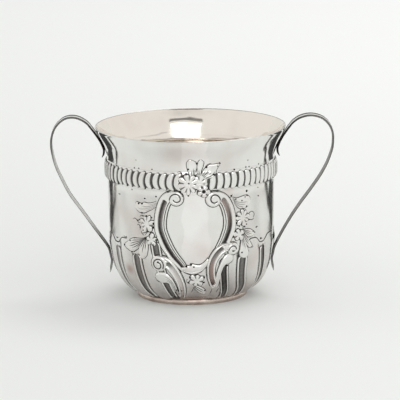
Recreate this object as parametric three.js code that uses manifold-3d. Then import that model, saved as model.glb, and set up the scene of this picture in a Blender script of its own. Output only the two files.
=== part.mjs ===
// Silver porringer, a small cup with two handles. Its body is one sheet, raised to a flared
// rim and chased from both sides with a rope band, flutes round the belly and, on the front,
// a scrolled cartouche. A ring foot and two flat strap handles are soldered to it.
// Lengths are in millimetres. +Z is up, the foot stands on z = 0 and the cartouche faces -Y.

import * as THREE from 'three';
import Module from 'manifold-3d';

const wasm = await Module();
wasm.setup();

// Cup sheet and its outline
const wall = 0.9;
const rimRadius = 50;
const rimHeight = 90;
const lipWidth = 1.2;
const neckRadius = 43.7;
const neckHeight = 71;
const flareRise = 9.4;      // how far the neck stays upright before it flares
const flareRun = 1.4;       // inward run and fall of the flare's last stretch
const flareFall = 5.7;
const bellyRadius = 43.4;
const bellyHeight = 52;     // where the belly is upright
const bowlPullLength = 28.4; // how far down from there the outline is drawn towards the upright
const bowlInset = 1.8;      // corner of the lower belly, in from its full width
const bowlRise = 6.8;       // and above the foot's seat
const seatRadius = 28.6;    // where the belly turns under, on to the foot
const floorRise = 0.8;      // middle of the floor above the foot's seat
const lipRounding = 0.4;

// Ring foot
const footHeight = 3.2;
const footRadius = 28.9;
const footWidth = 2.4;
const footRounding = 0.5;
const footTaper = 0.7;      // how far the foot draws in towards the cup

// Flutes round the belly
const fluteCount = 17;
const fluteShift = 0.9;     // first groove, right of the front's middle line
const fluteSlant = 0.2;     // sideways run for each millimetre down the wall
const fluteTopHeight = 37.5; // crown of each arch, measured up the wall from the foot
const fluteDipDepth = 3.5;  // dip of the outline over each groove
const dipWidth = 4;
const grooveWidth = 2.6;
const grooveDepth = 0.7;
const reedWidth = 1.4;
const reedHeight = 0.35;
const fluteCrown = 0.9;     // rise of the wide lobe between two grooves

// Rope band under the neck
const ropeMiddleHeight = 70.5; // measured up the wall from the foot
const ropeWidth = 9.8;
const ropeCount = 69;
const ropeSlant = 0.13;
const ropeBulge = 1.2;
const ropeCrown = 0.5;
const ropeRecess = 0.35;
const fluteMargin = 4;      // plain wall above the flutes before the facets widen
const ropeMargin = 3;       // below the rope band
const neckMargin = 2.5;     // and above it

// Cartouche
const scrollWidth = 2.6;
const scrollHeight = 1;
const innerWidth = 1.4;
const innerHeight = 0.6;
const leafHeight = 0.8;
const ornamentBed = 0.5;    // how deep the ornament is bedded in the sheet
const windowWidth = 35;     // plain ground that the flutes leave free for the cartouche
const windowHeight = 66;
const windowMiddle = [1.5, 42];

// Strap handles
const strapWidth = 8;       // at the top, narrowing to the belly
const strapEndWidth = 5.5;
const strapThickness = 1.1;
const strapCrown = 0.25;    // rise of the strap's rounded face
const solderGap = 0.3;
const handleRise = 5;       // top of the bend above the rim
const leftReach = 73;       // outermost point of each bend from the cup's axis
const rightReach = 74.6;
const upperSeatHeight = 79.5; // lower end of the stretch soldered to the neck, up the wall
const lowerSeatHeight = 20.5; // lower end of the stretch soldered to the belly
const seatLength = 6.5;
const upperTailLength = 4.2; // length of each loose end, and how far it curls clear of the cup
const upperCurlHeight = 1.8;
const lowerTailLength = 5.5;
const lowerCurlHeight = 3.2;
const rimClearance = 1.9;   // from the lip to the strap's middle line where it passes the lip
const tipShare = 0.025;     // share of the strap that each rounded tip takes

const silver = { color: 0xd6d4cf, roughness: 0.2, metalness: 1 };
const warmSilver = { color: 0xd0c3b8, roughness: 0.28, metalness: 1 };

const smoothCount = 60;     // facets round the plain stretches

const girth = 2 * Math.PI * bellyRadius;
const ease = (t) => t * t * (3 - 2 * t);
const clamp01 = (t) => Math.min(1, Math.max(0, t));

// The outside of the plain sheet, from the foot's seat to the rim, as radius and height
const outline = new THREE.CurvePath();
const seatPoint = new THREE.Vector2(seatRadius, footHeight);
const bellyPoint = new THREE.Vector2(bellyRadius, bellyHeight);
const neckPoint = new THREE.Vector2(neckRadius, neckHeight);
const rimPoint = new THREE.Vector2(rimRadius, rimHeight);
outline.add(new THREE.CubicBezierCurve(
  seatPoint,
  new THREE.Vector2(bellyRadius - bowlInset, footHeight + bowlRise),
  new THREE.Vector2(bellyRadius, bellyHeight - bowlPullLength),
  bellyPoint,
));
outline.add(new THREE.LineCurve(bellyPoint, neckPoint));
outline.add(new THREE.CubicBezierCurve(
  neckPoint,
  new THREE.Vector2(neckRadius, neckHeight + flareRise),
  new THREE.Vector2(rimRadius - flareRun, rimHeight - flareFall),
  rimPoint,
));
const wallLength = outline.getLength();

// Place, outward direction and radius of the plain sheet at a length up its wall
function sheetAt(up) {
  const share = clamp01(up / wallLength);
  const step = 0.2 / wallLength;
  const place = outline.getPoint(share);
  const along = outline.getPoint(Math.min(1, share + step)).sub(outline.getPoint(Math.max(0, share - step)));
  along.normalize();
  return { place, out: new THREE.Vector2(along.y, -along.x) };
}

// The sheet is chased as if laid flat: x runs round the girth from the front's middle line,
// y runs up the wall from the foot, and lift stands off the plain sheet
function onSheet(x, y, lift) {
  const { place, out } = sheetAt(y);
  const radius = place.x + out.x * lift;
  const angle = x / bellyRadius;
  return new THREE.Vector3(
    radius * Math.sin(angle),
    -radius * Math.cos(angle),
    place.y + out.y * lift,
  );
}

// Solids as plain lists of corners and faces

function geometryOf(corners, faces) {
  const geometry = new THREE.BufferGeometry();
  geometry.setAttribute('position', new THREE.Float32BufferAttribute(corners.flatMap((p) => p.toArray()), 3));
  geometry.setIndex(faces.flat());
  return geometry;
}

// Faces between two closed rings of the cup. Each ring lists its points by their run round
// the girth, and the rings may have different counts
function stitch(corners, faces, lower, upper) {
  const first = corners.length - upper.length;
  const lowFirst = first - lower.length;
  const shift = lower.length === upper.length ? upper[0].x - lower[0].x : 0;
  const runAt = (ring, i) => ring[i % ring.length].x + (i >= ring.length ? girth : 0);
  let low = 0;
  let up = 0;
  while (low < lower.length || up < upper.length) {
    const lowNext = runAt(lower, low + 1);
    const upNext = runAt(upper, up + 1) - shift;
    const stepsLow = up === upper.length || (low < lower.length && lowNext <= upNext + 1e-6);
    const a = lowFirst + (low % lower.length);
    const b = first + (up % upper.length);
    if (stepsLow) {
      low += 1;
      if (lower.length > 1) faces.push([a, lowFirst + (low % lower.length), b]);
    } else {
      up += 1;
      if (upper.length > 1) faces.push([a, first + (up % upper.length), b]);
    }
  }
}

function solidOfRings(rings) {
  const corners = [];
  const faces = [];
  rings.forEach((ring, i) => {
    corners.push(...ring.map((entry) => entry.point));
    if (i > 0) stitch(corners, faces, rings[i - 1], ring);
  });
  return geometryOf(corners, faces);
}

// A bar through a list of sections, each the same count of points round its edge
function solidOfSections(sections) {
  const count = sections[0].length;
  const corners = sections.flat();
  const faces = [];
  for (let i = 0; i < sections.length - 1; i += 1) {
    for (let j = 0; j < count; j += 1) {
      const a = i * count + j;
      const b = i * count + (j + 1) % count;
      faces.push([a, b, a + count], [b, b + count, a + count]);
    }
  }
  const last = (sections.length - 1) * count;
  for (let j = 1; j < count - 1; j += 1) {
    faces.push([0, j + 1, j], [last, last + j, last + j + 1]);
  }
  return geometryOf(corners, faces);
}

// Flutes: narrow grooves between reeds, with a wide lobe from each groove to the next

function groovePlace(i, y) {
  return fluteShift + i * girth / fluteCount + fluteSlant * (fluteTopHeight / 2 - y);
}

// Where a flute ends, up the wall: an arch over each lobe and a dip over each groove
function fluteEnd(fromGroove) {
  const dip = 0.5 * (1 + Math.cos(Math.PI * Math.min(1, Math.abs(fromGroove) / dipWidth)));
  return fluteTopHeight - fluteDipDepth * dip;
}

// How much of the flutes' relief is left at a place: none on the plain ground of the cartouche
function fluteShare(x, y) {
  const across = (x - windowMiddle[0]) / (windowWidth / 2);
  const along = (y - windowMiddle[1]) / (windowHeight / 2);
  return clamp01(3 * (Math.hypot(across, along) - 1));
}

// Points across one flute: offset from the groove and lift, then shares of the lobe
const reedEdge = grooveWidth / 2 + reedWidth;
const grooveSection = [
  [-reedEdge, 0],
  [-reedEdge + reedWidth / 2, reedHeight],
  [-grooveWidth / 3, -grooveDepth],
  [grooveWidth / 3, -grooveDepth],
  [reedEdge - reedWidth / 2, reedHeight],
  [reedEdge, 0],
];
const lobeShares = [0.25, 0.5, 0.75];
const backSection = [[-reedEdge, 0], [0, -grooveDepth], [reedEdge, 0]];

function fluteRing(share, section, lobes, strength, thickness) {
  const ring = [];
  const start = -Math.floor(fluteCount / 2);
  for (let i = start; i < start + fluteCount; i += 1) {
    const addPoint = (offset, lift, fromGroove) => {
      const y = share * fluteEnd(fromGroove);
      const x = groovePlace(i, y) + offset;
      ring.push({ x, point: onSheet(x, y, lift * strength * fluteShare(x, y) - thickness) });
    };
    for (const [offset, lift] of section) addPoint(offset, lift, offset);
    const lobe = girth / fluteCount - 2 * reedEdge;
    for (const part of lobes) {
      const offset = reedEdge + part * lobe;
      const lift = fluteCrown * (1 - (2 * part - 1) ** 2);
      addPoint(offset, lift, Math.min(offset, girth / fluteCount - offset));
    }
  }
  return ring;
}

// Rope band: upright lobes round a bulge of the sheet

const ropeBottom = ropeMiddleHeight - ropeWidth / 2;
const ropeTop = ropeMiddleHeight + ropeWidth / 2;

function bulgeAt(y) {
  const across = Math.min(1, Math.abs(y - ropeMiddleHeight) / (ropeWidth / 2));
  return ropeBulge * Math.sqrt(1 - across * across);
}

function ropeRing(share, strength) {
  const y = ropeBottom + share * ropeWidth;
  const pitch = girth / ropeCount;
  const ring = [];
  for (let i = 0; i < ropeCount; i += 1) {
    const recess = -girth / 2 + i * pitch + ropeSlant * (y - ropeMiddleHeight);
    const lifts = [[0, -ropeRecess], [0.3, ropeCrown], [0.7, ropeCrown]];
    for (const [part, lift] of lifts) {
      const x = recess + part * pitch;
      ring.push({ x, point: onSheet(x, y, bulgeAt(y) + lift * strength) });
    }
  }
  return ring;
}

function plainRing(count, y, lift) {
  const ring = [];
  for (let i = 0; i < count; i += 1) {
    const x = -girth / 2 + (i + 0.5) * girth / count;
    ring.push({ x, point: onSheet(x, y, lift) });
  }
  return ring;
}

function levelRing(count, radius, height) {
  const ring = [];
  for (let i = 0; i < count; i += 1) {
    const x = -girth / 2 + (i + 0.5) * girth / count;
    const angle = x / bellyRadius;
    ring.push({ x, point: new THREE.Vector3(radius * Math.sin(angle), -radius * Math.cos(angle), height) });
  }
  return ring;
}

const neckStart = ropeTop + neckMargin;
const lipStart = wallLength - 2.5 * lipRounding;
const seatInner = footRadius - footWidth;

// The outside of the cup, closed across its mouth
function cupForm() {
  const rings = [
    levelRing(1, 0, footHeight + floorRise),
    levelRing(smoothCount, seatInner, footHeight),
  ];
  const fluteRows = [[0, 0], [0.05, 0.3], [0.18, 1], [0.38, 1], [0.6, 1], [0.82, 1], [0.975, 1], [1, 0]];
  for (const [share, strength] of fluteRows) {
    rings.push(fluteRing(share, grooveSection, lobeShares, strength, 0));
  }
  rings.push(
    plainRing(smoothCount, fluteTopHeight + fluteMargin, 0),
    plainRing(smoothCount, ropeBottom - ropeMargin, 0),
  );
  for (const [share, strength] of [[0, 0], [0.16, 0.9], [0.5, 1], [0.84, 0.9], [1, 0]]) {
    rings.push(ropeRing(share, strength));
  }
  for (const part of [0, 0.3, 0.55, 0.8, 1]) {
    rings.push(plainRing(smoothCount, THREE.MathUtils.lerp(neckStart, lipStart, part), 0));
  }
  rings.push(
    levelRing(smoothCount, rimRadius, rimHeight - lipRounding),
    levelRing(smoothCount, rimRadius - lipRounding, rimHeight),
    levelRing(1, 0, rimHeight),
  );
  return solidOfRings(rings);
}

// The room inside, which follows the back of the flutes and of the rope band
function cupHollow() {
  const rings = [
    levelRing(1, 0, footHeight + wall + floorRise),
    levelRing(smoothCount, seatInner, footHeight + wall + floorRise / 2),
  ];
  for (const [share, strength] of [[0.05, 0.6], [0.22, 1], [0.45, 1], [0.72, 1], [0.97, 1]]) {
    rings.push(fluteRing(share, backSection, [0.5], strength, wall));
  }
  rings.push(plainRing(smoothCount, fluteTopHeight + fluteMargin, -wall));
  for (const part of [0, 0.25, 0.75, 1]) {
    const y = ropeBottom + part * ropeWidth;
    rings.push(plainRing(smoothCount, y, bulgeAt(y) - wall));
  }
  for (const part of [0.25, 0.6, 1]) {
    rings.push(plainRing(smoothCount, THREE.MathUtils.lerp(neckStart, lipStart, part), -wall));
  }
  rings.push(
    levelRing(smoothCount, rimRadius - lipWidth, rimHeight),
    levelRing(smoothCount, rimRadius - lipWidth, rimHeight + lipWidth),
    levelRing(1, 0, rimHeight + lipWidth),
  );
  return solidOfRings(rings);
}

// Cartouche, all of it beaten out of the same sheet

// What the ornament lies on, and how far down it reaches to stay whole over a groove
function groundAt(x, y) {
  const fluted = y < fluteTopHeight && fluteShare(x, y) > 0;
  return {
    ground: bulgeAt(y) + (fluted ? fluteCrown : 0),
    bed: bulgeAt(y) - ornamentBed - (fluted ? grooveDepth : 0),
  };
}

// A raised bar laid along a path on the sheet, widest at its root in the sheet. widthAt takes
// the share of the path
function raisedBar(path, steps, widthAt, height, crestShare) {
  const sections = [];
  for (let i = 0; i <= steps; i += 1) {
    const share = i / steps;
    const place = path.getPointAt(share);
    const along = path.getTangentAt(share);
    const taper = sheetAt(place.y).place.x / bellyRadius;
    const half = widthAt(share) / 2;
    const { ground, bed } = groundAt(place.x, place.y);
    const point = (offset, lift) => onSheet(
      place.x - along.y * offset / taper,
      place.y + along.x * offset,
      lift,
    );
    sections.push([
      point(half, bed),
      point(half * crestShare, ground + height),
      point(-half * crestShare, ground + height),
      point(-half, bed),
    ]);
  }
  return solidOfSections(sections);
}

function pathOf(points) {
  return new THREE.CatmullRomCurve3(points.map(([x, y]) => new THREE.Vector3(x, y, 0)), false, 'centripetal');
}

// Points of a volute that winds in to its eye; turn is +1 for anticlockwise
function volute([x, y], radius, start, turns, turn) {
  const points = [];
  const steps = Math.ceil(turns * 9);
  for (let i = 0; i <= steps; i += 1) {
    const share = i / steps;
    const angle = THREE.MathUtils.degToRad(start) + turn * share * turns * 2 * Math.PI;
    const reach = radius * (1 - 0.72 * share);
    points.push([x + reach * Math.cos(angle), y + reach * Math.sin(angle)]);
  }
  return points;
}

const scrolls = [
  {
    outer: [[-5.9, 22.9], [-11.6, 29.8], [-17.1, 38.5], [-19.5, 48.4], [-17.3, 58.6], [-12.6, 64]],
    eye: [-7.6, 61.6], radius: 3.6, start: 100, turn: -1,
    inner: [[-3.4, 25.7], [-9.3, 35.2], [-13.6, 46.7], [-12.4, 56.2], [-9.9, 58.9]],
  },
  {
    outer: [[20.8, 37.8], [23.7, 44.9], [23.1, 54.5], [19.4, 61.2], [15, 64.4]],
    eye: [11.9, 60.7], radius: 4.2, start: 80, turn: 1,
    inner: [[14.8, 37.3], [17.6, 45.5], [17.2, 52], [14.8, 58.4]],
  },
  {
    outer: [[12.8, 11], [8.4, 18], [8.2, 26.5], [12.2, 33.2], [18.5, 36.6]],
    eye: [22.3, 33.4], radius: 3, start: 95, turn: -1,
    inner: [[15.4, 13.2], [12.8, 19.5], [13.5, 26.5], [18.2, 31.4]],
  },
  {
    outer: [[-4.1, 6.4], [-3.5, 16], [-7.5, 25.6], [-13, 30.4]],
    eye: [-17.6, 26.8], radius: 3.6, start: 85, turn: 1,
    inner: [[-7.7, 9], [-8.9, 18.1], [-14.1, 23.4]],
  },
];

// Leaves: middle line from stalk to tip, and greatest width
const leaves = [
  { line: [[-5, 24.6], [-1, 23.6], [4, 24.2], [8.2, 27.2]], width: 4.4 },
  { line: [[14.4, 15.5], [16, 22], [19, 27.2], [22.6, 28.8]], width: 4.6 },
  { line: [[-13.5, 5], [-13.4, 13], [-15.8, 18.6], [-19.6, 20.6]], width: 4.4 },
  { line: [[2.6, 13.4], [5.2, 10], [8.4, 7.4]], width: 3.6 },
  { line: [[2, 72.5], [0.6, 76.5], [-1, 79]], width: 3.6 },
  { line: [[2.6, 72.5], [3.8, 77], [3.4, 81]], width: 3.6 },
  { line: [[4.4, 71], [8, 75], [11, 78.2], [15.4, 80]], width: 4 },
  { line: [[-17.8, 60.6], [-22, 59.2], [-27, 56.6], [-31.4, 56.4]], width: 4.4 },
  { line: [[-22.4, 55.2], [-26.4, 53.6], [-30, 54]], width: 2.6 },
  { line: [[-25, 39.2], [-30, 36.6], [-38.6, 33.8]], width: 5.4 },
  { line: [[-24.4, 38], [-26.6, 34], [-26.8, 29.4]], width: 4.2 },
  { line: [[23.6, 60.6], [28.4, 58.6], [33, 57.4]], width: 4 },
  { line: [[28, 55], [31.6, 56.4], [34.6, 60]], width: 3 },
  { line: [[29.6, 42.2], [33.6, 41], [38, 38.8]], width: 4 },
  { line: [[29, 38.4], [30.6, 33.6], [31.4, 28.2]], width: 4.4 },
];

const florets = [
  { middle: [-0.6, 69.6], radius: 5.4, petals: 6 },
  { middle: [6.7, 65.8], radius: 2.7, petals: 5 },
  { middle: [-24, 47.6], radius: 4.4, petals: 5 },
  { middle: [-20.9, 38.7], radius: 2.8, petals: 5 },
  { middle: [29, 49.6], radius: 4, petals: 5 },
  { middle: [26.2, 40.4], radius: 3.4, petals: 5 },
  { middle: [2.6, 17], radius: 3.9, petals: 5 },
];

function scrollBars({ outer, eye, radius, start, turn, inner }) {
  const ridge = pathOf([...outer, ...volute(eye, radius, start, 1.3, turn)]);
  const edge = pathOf(inner);
  const swell = (share) => ease(clamp01(share / 0.12)) * (1 - 0.45 * share);
  const fade = (share) => ease(clamp01(5 * Math.min(share, 1 - share) + 0.3));
  return [
    raisedBar(ridge, 25, (share) => scrollWidth * (0.3 + 0.7 * swell(share)), scrollHeight, 0.55),
    raisedBar(edge, 8, (share) => innerWidth * fade(share), innerHeight, 0.4),
  ];
}

function leafBar({ line, width }) {
  const spread = (share) => width * Math.max(0.08, Math.sin(Math.PI * share ** 0.7));
  return raisedBar(pathOf(line), 5, spread, leafHeight, 0.3);
}

// A floret of round petals with a raised eye
function floretBoss({ middle: [x, y], radius, petals }) {
  const { ground, bed } = groundAt(x, y);
  const around = (reach, scallop, lift) => {
    const points = [];
    for (let i = 0; i < petals * 2; i += 1) {
      const angle = i / petals * Math.PI;
      const span = radius * reach * (i % 2 === 0 ? 1 - scallop : 1);
      points.push(onSheet(x + span * Math.cos(angle), y + span * Math.sin(angle), lift));
    }
    return points;
  };
  return solidOfSections([
    around(1, 0.35, bed),
    around(1, 0.35, ground + leafHeight * 0.3),
    around(0.6, 0.2, ground + leafHeight),
    around(0.25, 0, ground + leafHeight * 0.6),
  ]);
}

function asManifold(geometry) {
  return new wasm.Manifold(new wasm.Mesh({
    numProp: 3,
    vertProperties: geometry.getAttribute('position').array,
    triVerts: new Uint32Array(geometry.getIndex().array),
  }));
}

function asGeometry(solid) {
  const { vertProperties, triVerts } = solid.getMesh();
  const geometry = new THREE.BufferGeometry();
  geometry.setAttribute('position', new THREE.BufferAttribute(vertProperties, 3));
  geometry.setIndex(new THREE.BufferAttribute(triVerts, 1));
  return geometry;
}

function cupBody() {
  const ornaments = [
    ...scrolls.flatMap(scrollBars),
    ...leaves.map(leafBar),
    ...florets.map(floretBoss),
  ];
  let body = asManifold(cupForm());
  for (const ornament of ornaments) body = body.add(asManifold(ornament));
  return asGeometry(body.subtract(asManifold(cupHollow())));
}

// The ring foot, its outer edge rounded where it meets the table
function footRing() {
  const section = [
    [seatInner, 0],
    [footRadius - footRounding, 0],
    [footRadius - footRounding * 0.3, footRounding * 0.4],
    [footRadius, footRounding],
    [footRadius, footHeight * 0.55],
    [footRadius - footTaper, footHeight],
    [seatInner, footHeight],
    [seatInner, 0],
  ];
  return new THREE.LatheGeometry(section.map(([r, z]) => new THREE.Vector2(r, z)), 72);
}

// The bend of a strap past the lip: share of the way out from the lip to its farthest point,
// and share of its full height
const bend = [
  [0.27, 0.983],
  [0.53, 1],
  [0.835, 0.961],
  [0.996, 0.874],
  [0.93, 0.758],
  [0.535, 0.553],
  [0.022, 0.368],
];

// A strap handle: a flat ribbon bent to lie on the neck and the belly, with both ends curled
// clear. Its middle line is drawn in the plane of the handles, away from the cup's axis
function strapLine(reach) {
  const onSeat = (y, extra) => {
    const { place, out } = sheetAt(y);
    return place.clone().addScaledVector(out, solderGap + strapThickness / 2 + extra);
  };
  const top = rimHeight + handleRise;
  const points = [
    onSeat(upperSeatHeight - upperTailLength, upperCurlHeight),
    onSeat(upperSeatHeight - upperTailLength / 2, upperCurlHeight * 0.3),
    onSeat(upperSeatHeight, 0),
    onSeat(upperSeatHeight + seatLength / 2, 0),
    onSeat(upperSeatHeight + seatLength, 0),
    new THREE.Vector2(rimRadius + rimClearance, rimHeight - strapThickness / 2),
    ...bend.map(([out, up]) => new THREE.Vector2(THREE.MathUtils.lerp(rimRadius, reach, out), up * top)),
    onSeat(lowerSeatHeight + seatLength, fluteCrown),
    onSeat(lowerSeatHeight + seatLength / 2, fluteCrown),
    onSeat(lowerSeatHeight, fluteCrown),
    onSeat(lowerSeatHeight - lowerTailLength / 2, fluteCrown + lowerCurlHeight * 0.3),
    onSeat(lowerSeatHeight - lowerTailLength, fluteCrown + lowerCurlHeight),
  ];
  return new THREE.CatmullRomCurve3(points.map((p) => new THREE.Vector3(p.x, 0, p.y)), false, 'centripetal');
}

function strapHandle(reach, side) {
  const line = strapLine(reach);
  const steps = 46;
  const sections = [];
  for (let i = 0; i <= steps; i += 1) {
    const share = i / steps;
    const place = line.getPointAt(share);
    const along = line.getTangentAt(share);
    const outward = new THREE.Vector3(along.z, 0, -along.x);
    const tip = Math.sqrt(clamp01(Math.min(share, 1 - share) / tipShare + 0.15));
    const half = THREE.MathUtils.lerp(strapWidth, strapEndWidth, ease(share)) / 2 * tip;
    const point = (across, lift) => new THREE.Vector3(
      side * (place.x + outward.x * lift),
      side * half * across,
      place.z + outward.z * lift,
    );
    const face = strapThickness / 2;
    sections.push([
      point(-1, face - strapCrown),
      point(-0.5, face),
      point(0.5, face),
      point(1, face - strapCrown),
      point(0.96, -face),
      point(-0.96, -face),
    ]);
  }
  return solidOfSections(sections);
}

const porringer = new THREE.Group();

function addPiece(name, geometry, finish) {
  const mesh = new THREE.Mesh(geometry, new THREE.MeshStandardMaterial(finish));
  mesh.name = name;
  porringer.add(mesh);
  return mesh;
}

addPiece('cup_body', cupBody(), silver);
addPiece('foot_ring', footRing(), warmSilver).rotation.x = Math.PI / 2;
addPiece('left_handle', strapHandle(leftReach, -1), silver);
addPiece('right_handle', strapHandle(rightReach, 1), silver);

export default porringer;
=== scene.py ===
import math
import random

import bpy
import numpy as np
from mathutils import Matrix, Vector


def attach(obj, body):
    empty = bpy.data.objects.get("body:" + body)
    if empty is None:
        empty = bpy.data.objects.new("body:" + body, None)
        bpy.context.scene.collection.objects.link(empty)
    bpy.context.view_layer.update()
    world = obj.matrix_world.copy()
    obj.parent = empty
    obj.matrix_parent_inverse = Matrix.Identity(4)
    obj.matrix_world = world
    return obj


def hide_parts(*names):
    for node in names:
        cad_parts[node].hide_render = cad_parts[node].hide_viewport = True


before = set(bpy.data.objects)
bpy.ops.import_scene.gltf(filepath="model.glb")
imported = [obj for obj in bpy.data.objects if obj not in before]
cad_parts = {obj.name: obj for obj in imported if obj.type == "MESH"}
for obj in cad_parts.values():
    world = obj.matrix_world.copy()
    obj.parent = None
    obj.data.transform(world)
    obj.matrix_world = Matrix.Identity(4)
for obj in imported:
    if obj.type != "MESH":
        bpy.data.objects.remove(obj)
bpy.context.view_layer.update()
print("frame loaded:", sorted(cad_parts))

mm = 0.001  # patterns below are in millimetres, the scene is in metres

# The cup's sheet, unrolled: x runs round the girth from the front, y runs up the wall
sheet = {
    "wall": 0.9,
    "rimRadius": 49.92,
    "rimHeight": 90.0,
    "lipWidth": 0.8,
    "neckRadius": 43.7,
    "neckHeight": 71.0,
    "flareRise": 9.4,         # how far the neck stays upright before it flares
    "flareEnd": (1.4, 5.7),   # inward run and fall of the flare's last stretch
    "bellyRadius": 43.4,
    "bellyHeight": 52.0,
    "bowlPull": 28.4,         # how far down from there the outline is drawn towards the upright
    "bowlCorner": (1.8, 6.8), # corner of the lower belly, inwards and above the foot's seat
    "seatRadius": 28.6,
    "footHeight": 3.2,
    "unevenness": 0.035,      # hammer waves left in the plain wall
    "drop": 0.45,             # patterns were drawn as seen from above, so they sit this much lower
    # radius and height of the lining from the lip down, a plain cone near the rim
    "liningFlare": [
        (49.07, 89.6), (47.38, 87), (46.5, 85.6), (45.71, 84.2), (45.3, 83.4), (44.82, 82.4), (44.25, 80.9),
        (43.74, 79.4), (43.24, 77.8), (42.8, 76.4), (42.5, 75), (42.3, 73.6),
    ],
}
girth = 2 * math.pi * sheet["bellyRadius"]


def ease(t):
    t = np.clip(t, 0, 1)
    return t * t * (3 - 2 * t)


def wrap(x):
    # the same place within half a girth of the front
    return (x + girth / 2) % girth - girth / 2


def tableAt(table, at):
    return np.interp(at, *np.array(table, float).T)


def runAlong(line):
    # distance walked at each point of a line
    return np.concatenate([[0], np.cumsum(np.hypot(*np.diff(line, axis=0).T))])


def heading(line, passes=0):
    # direction of a line at each point, evened out along it
    along = np.gradient(line, axis=0)
    for _ in range(passes):
        along[1:-1] = (along[:-2] + 2 * along[1:-1] + along[2:]) / 4
    return along / np.hypot(*along.T)[:, None]


def bezier(a, b, c, d, count=400):
    t = np.linspace(0, 1, count)[:, None]
    a, b, c, d = (np.array(p, float) for p in (a, b, c, d))
    return (1 - t) ** 3 * a + 3 * (1 - t) ** 2 * t * b + 3 * (1 - t) * t * t * c + t ** 3 * d


def smoothLine(points, step=0.5):
    # points along a smooth line through the given ones
    p = np.array(points, float)
    if len(p) == 2:
        p = np.array([p[0], (p[0] + p[1]) / 2, p[1]])
    chord = np.maximum(np.hypot(*np.diff(p, axis=0).T), 1e-6) ** 0.5
    knots = np.concatenate([[0], np.cumsum(chord)])
    slope = np.gradient(p, knots, axis=0)
    fine = []
    for i in range(len(p) - 1):
        h = knots[i + 1] - knots[i]
        count = max(2, int(np.hypot(*(p[i + 1] - p[i])) / step) + 1)
        t = np.linspace(0, 1, count, endpoint=False)[:, None]
        fine.append(
            (2 * t ** 3 - 3 * t ** 2 + 1) * p[i] + (t ** 3 - 2 * t ** 2 + t) * h * slope[i]
            + (-2 * t ** 3 + 3 * t ** 2) * p[i + 1] + (t ** 3 - t ** 2) * h * slope[i + 1]
        )
    return np.vstack([*fine, p[-1:]])


def sheetOutline(s):
    # the outside of the plain sheet from the foot's seat to the rim, as radius and height
    seat, belly = (s["seatRadius"], s["footHeight"]), (s["bellyRadius"], s["bellyHeight"])
    neck, rim = (s["neckRadius"], s["neckHeight"]), (s["rimRadius"], s["rimHeight"])
    inset, rise = s["bowlCorner"]
    run, fall = s["flareEnd"]
    bowl = bezier(seat, (belly[0] - inset, seat[1] + rise), (belly[0], belly[1] - s["bowlPull"]), belly)
    flare = bezier(neck, (neck[0], neck[1] + s["flareRise"]), (rim[0] - run, rim[1] - fall), rim)
    line = np.vstack([bowl, flare])
    line = line[np.concatenate([[True], np.hypot(*np.diff(line, axis=0).T) > 1e-6])]
    return line, runAlong(line)


outline, outlineRun = sheetOutline(sheet)
wallLength = outlineRun[-1]


def sheetAt(y, reach=0.4):
    # radius and height of the plain sheet at y up the wall, and its outward direction
    def at(spot, k):
        return np.interp(spot, outlineRun, outline[:, k])

    dr, dz = (at(y + reach, k) - at(y - reach, k) for k in (0, 1))
    n = np.hypot(dr, dz)
    return at(y, 0), at(y, 1), dz / n, -dr / n


def onSheet(x, y, lift):
    x, y, lift = np.broadcast_arrays(*(np.asarray(v, float) for v in (x, y, lift)))
    r, z, outR, outZ = sheetAt(y)
    reach = r + outR * lift
    angle = x / sheet["bellyRadius"]
    return np.stack([reach * np.sin(angle), -reach * np.cos(angle), z + outZ * lift], -1) * mm


class Relief:
    # heights, tarnish with painted shade, and warmth, painted over points of the unrolled sheet

    def __init__(self, x, y):
        self.x, self.y = x, y
        self.lift, self.tarnish, self.warmth = (np.zeros(len(x)) for _ in range(3))

    def near(self, line, reach):
        # points within reach of a line, and their distance from it
        low, high = line.min(0) - reach, line.max(0) + reach
        index = np.nonzero((self.x > low[0]) & (self.x < high[0]) & (self.y > low[1]) & (self.y < high[1]))[0]
        px, py = self.x[index], self.y[index]
        best = np.full(len(index), np.inf)  # squares of the distances
        for (ax, ay), (bx, by) in zip(line[:-1], line[1:]) if len(index) else ():
            length = math.hypot(bx - ax, by - ay)
            ux, uy = (bx - ax) / length, (by - ay) / length
            along = np.clip((px - ax) * ux + (py - ay) * uy, 0, length)
            dx, dy = px - ax - ux * along, py - ay - uy * along
            best = np.minimum(best, dx * dx + dy * dy)
        best = np.sqrt(best)
        inside = best < reach
        return index[inside], best[inside]

    def line(self, points, width, depth, dark):
        # a line cut into the sheet
        index, distance = self.near(points, width * 1.2)
        amount = 1 - ease(distance / width - 0.15)
        self.lift[index] -= depth * amount
        self.tarnish[index] = np.maximum(self.tarnish[index], dark * amount)

    def darken(self, tarnish):
        self.tarnish = np.maximum(self.tarnish, tarnish)


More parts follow.
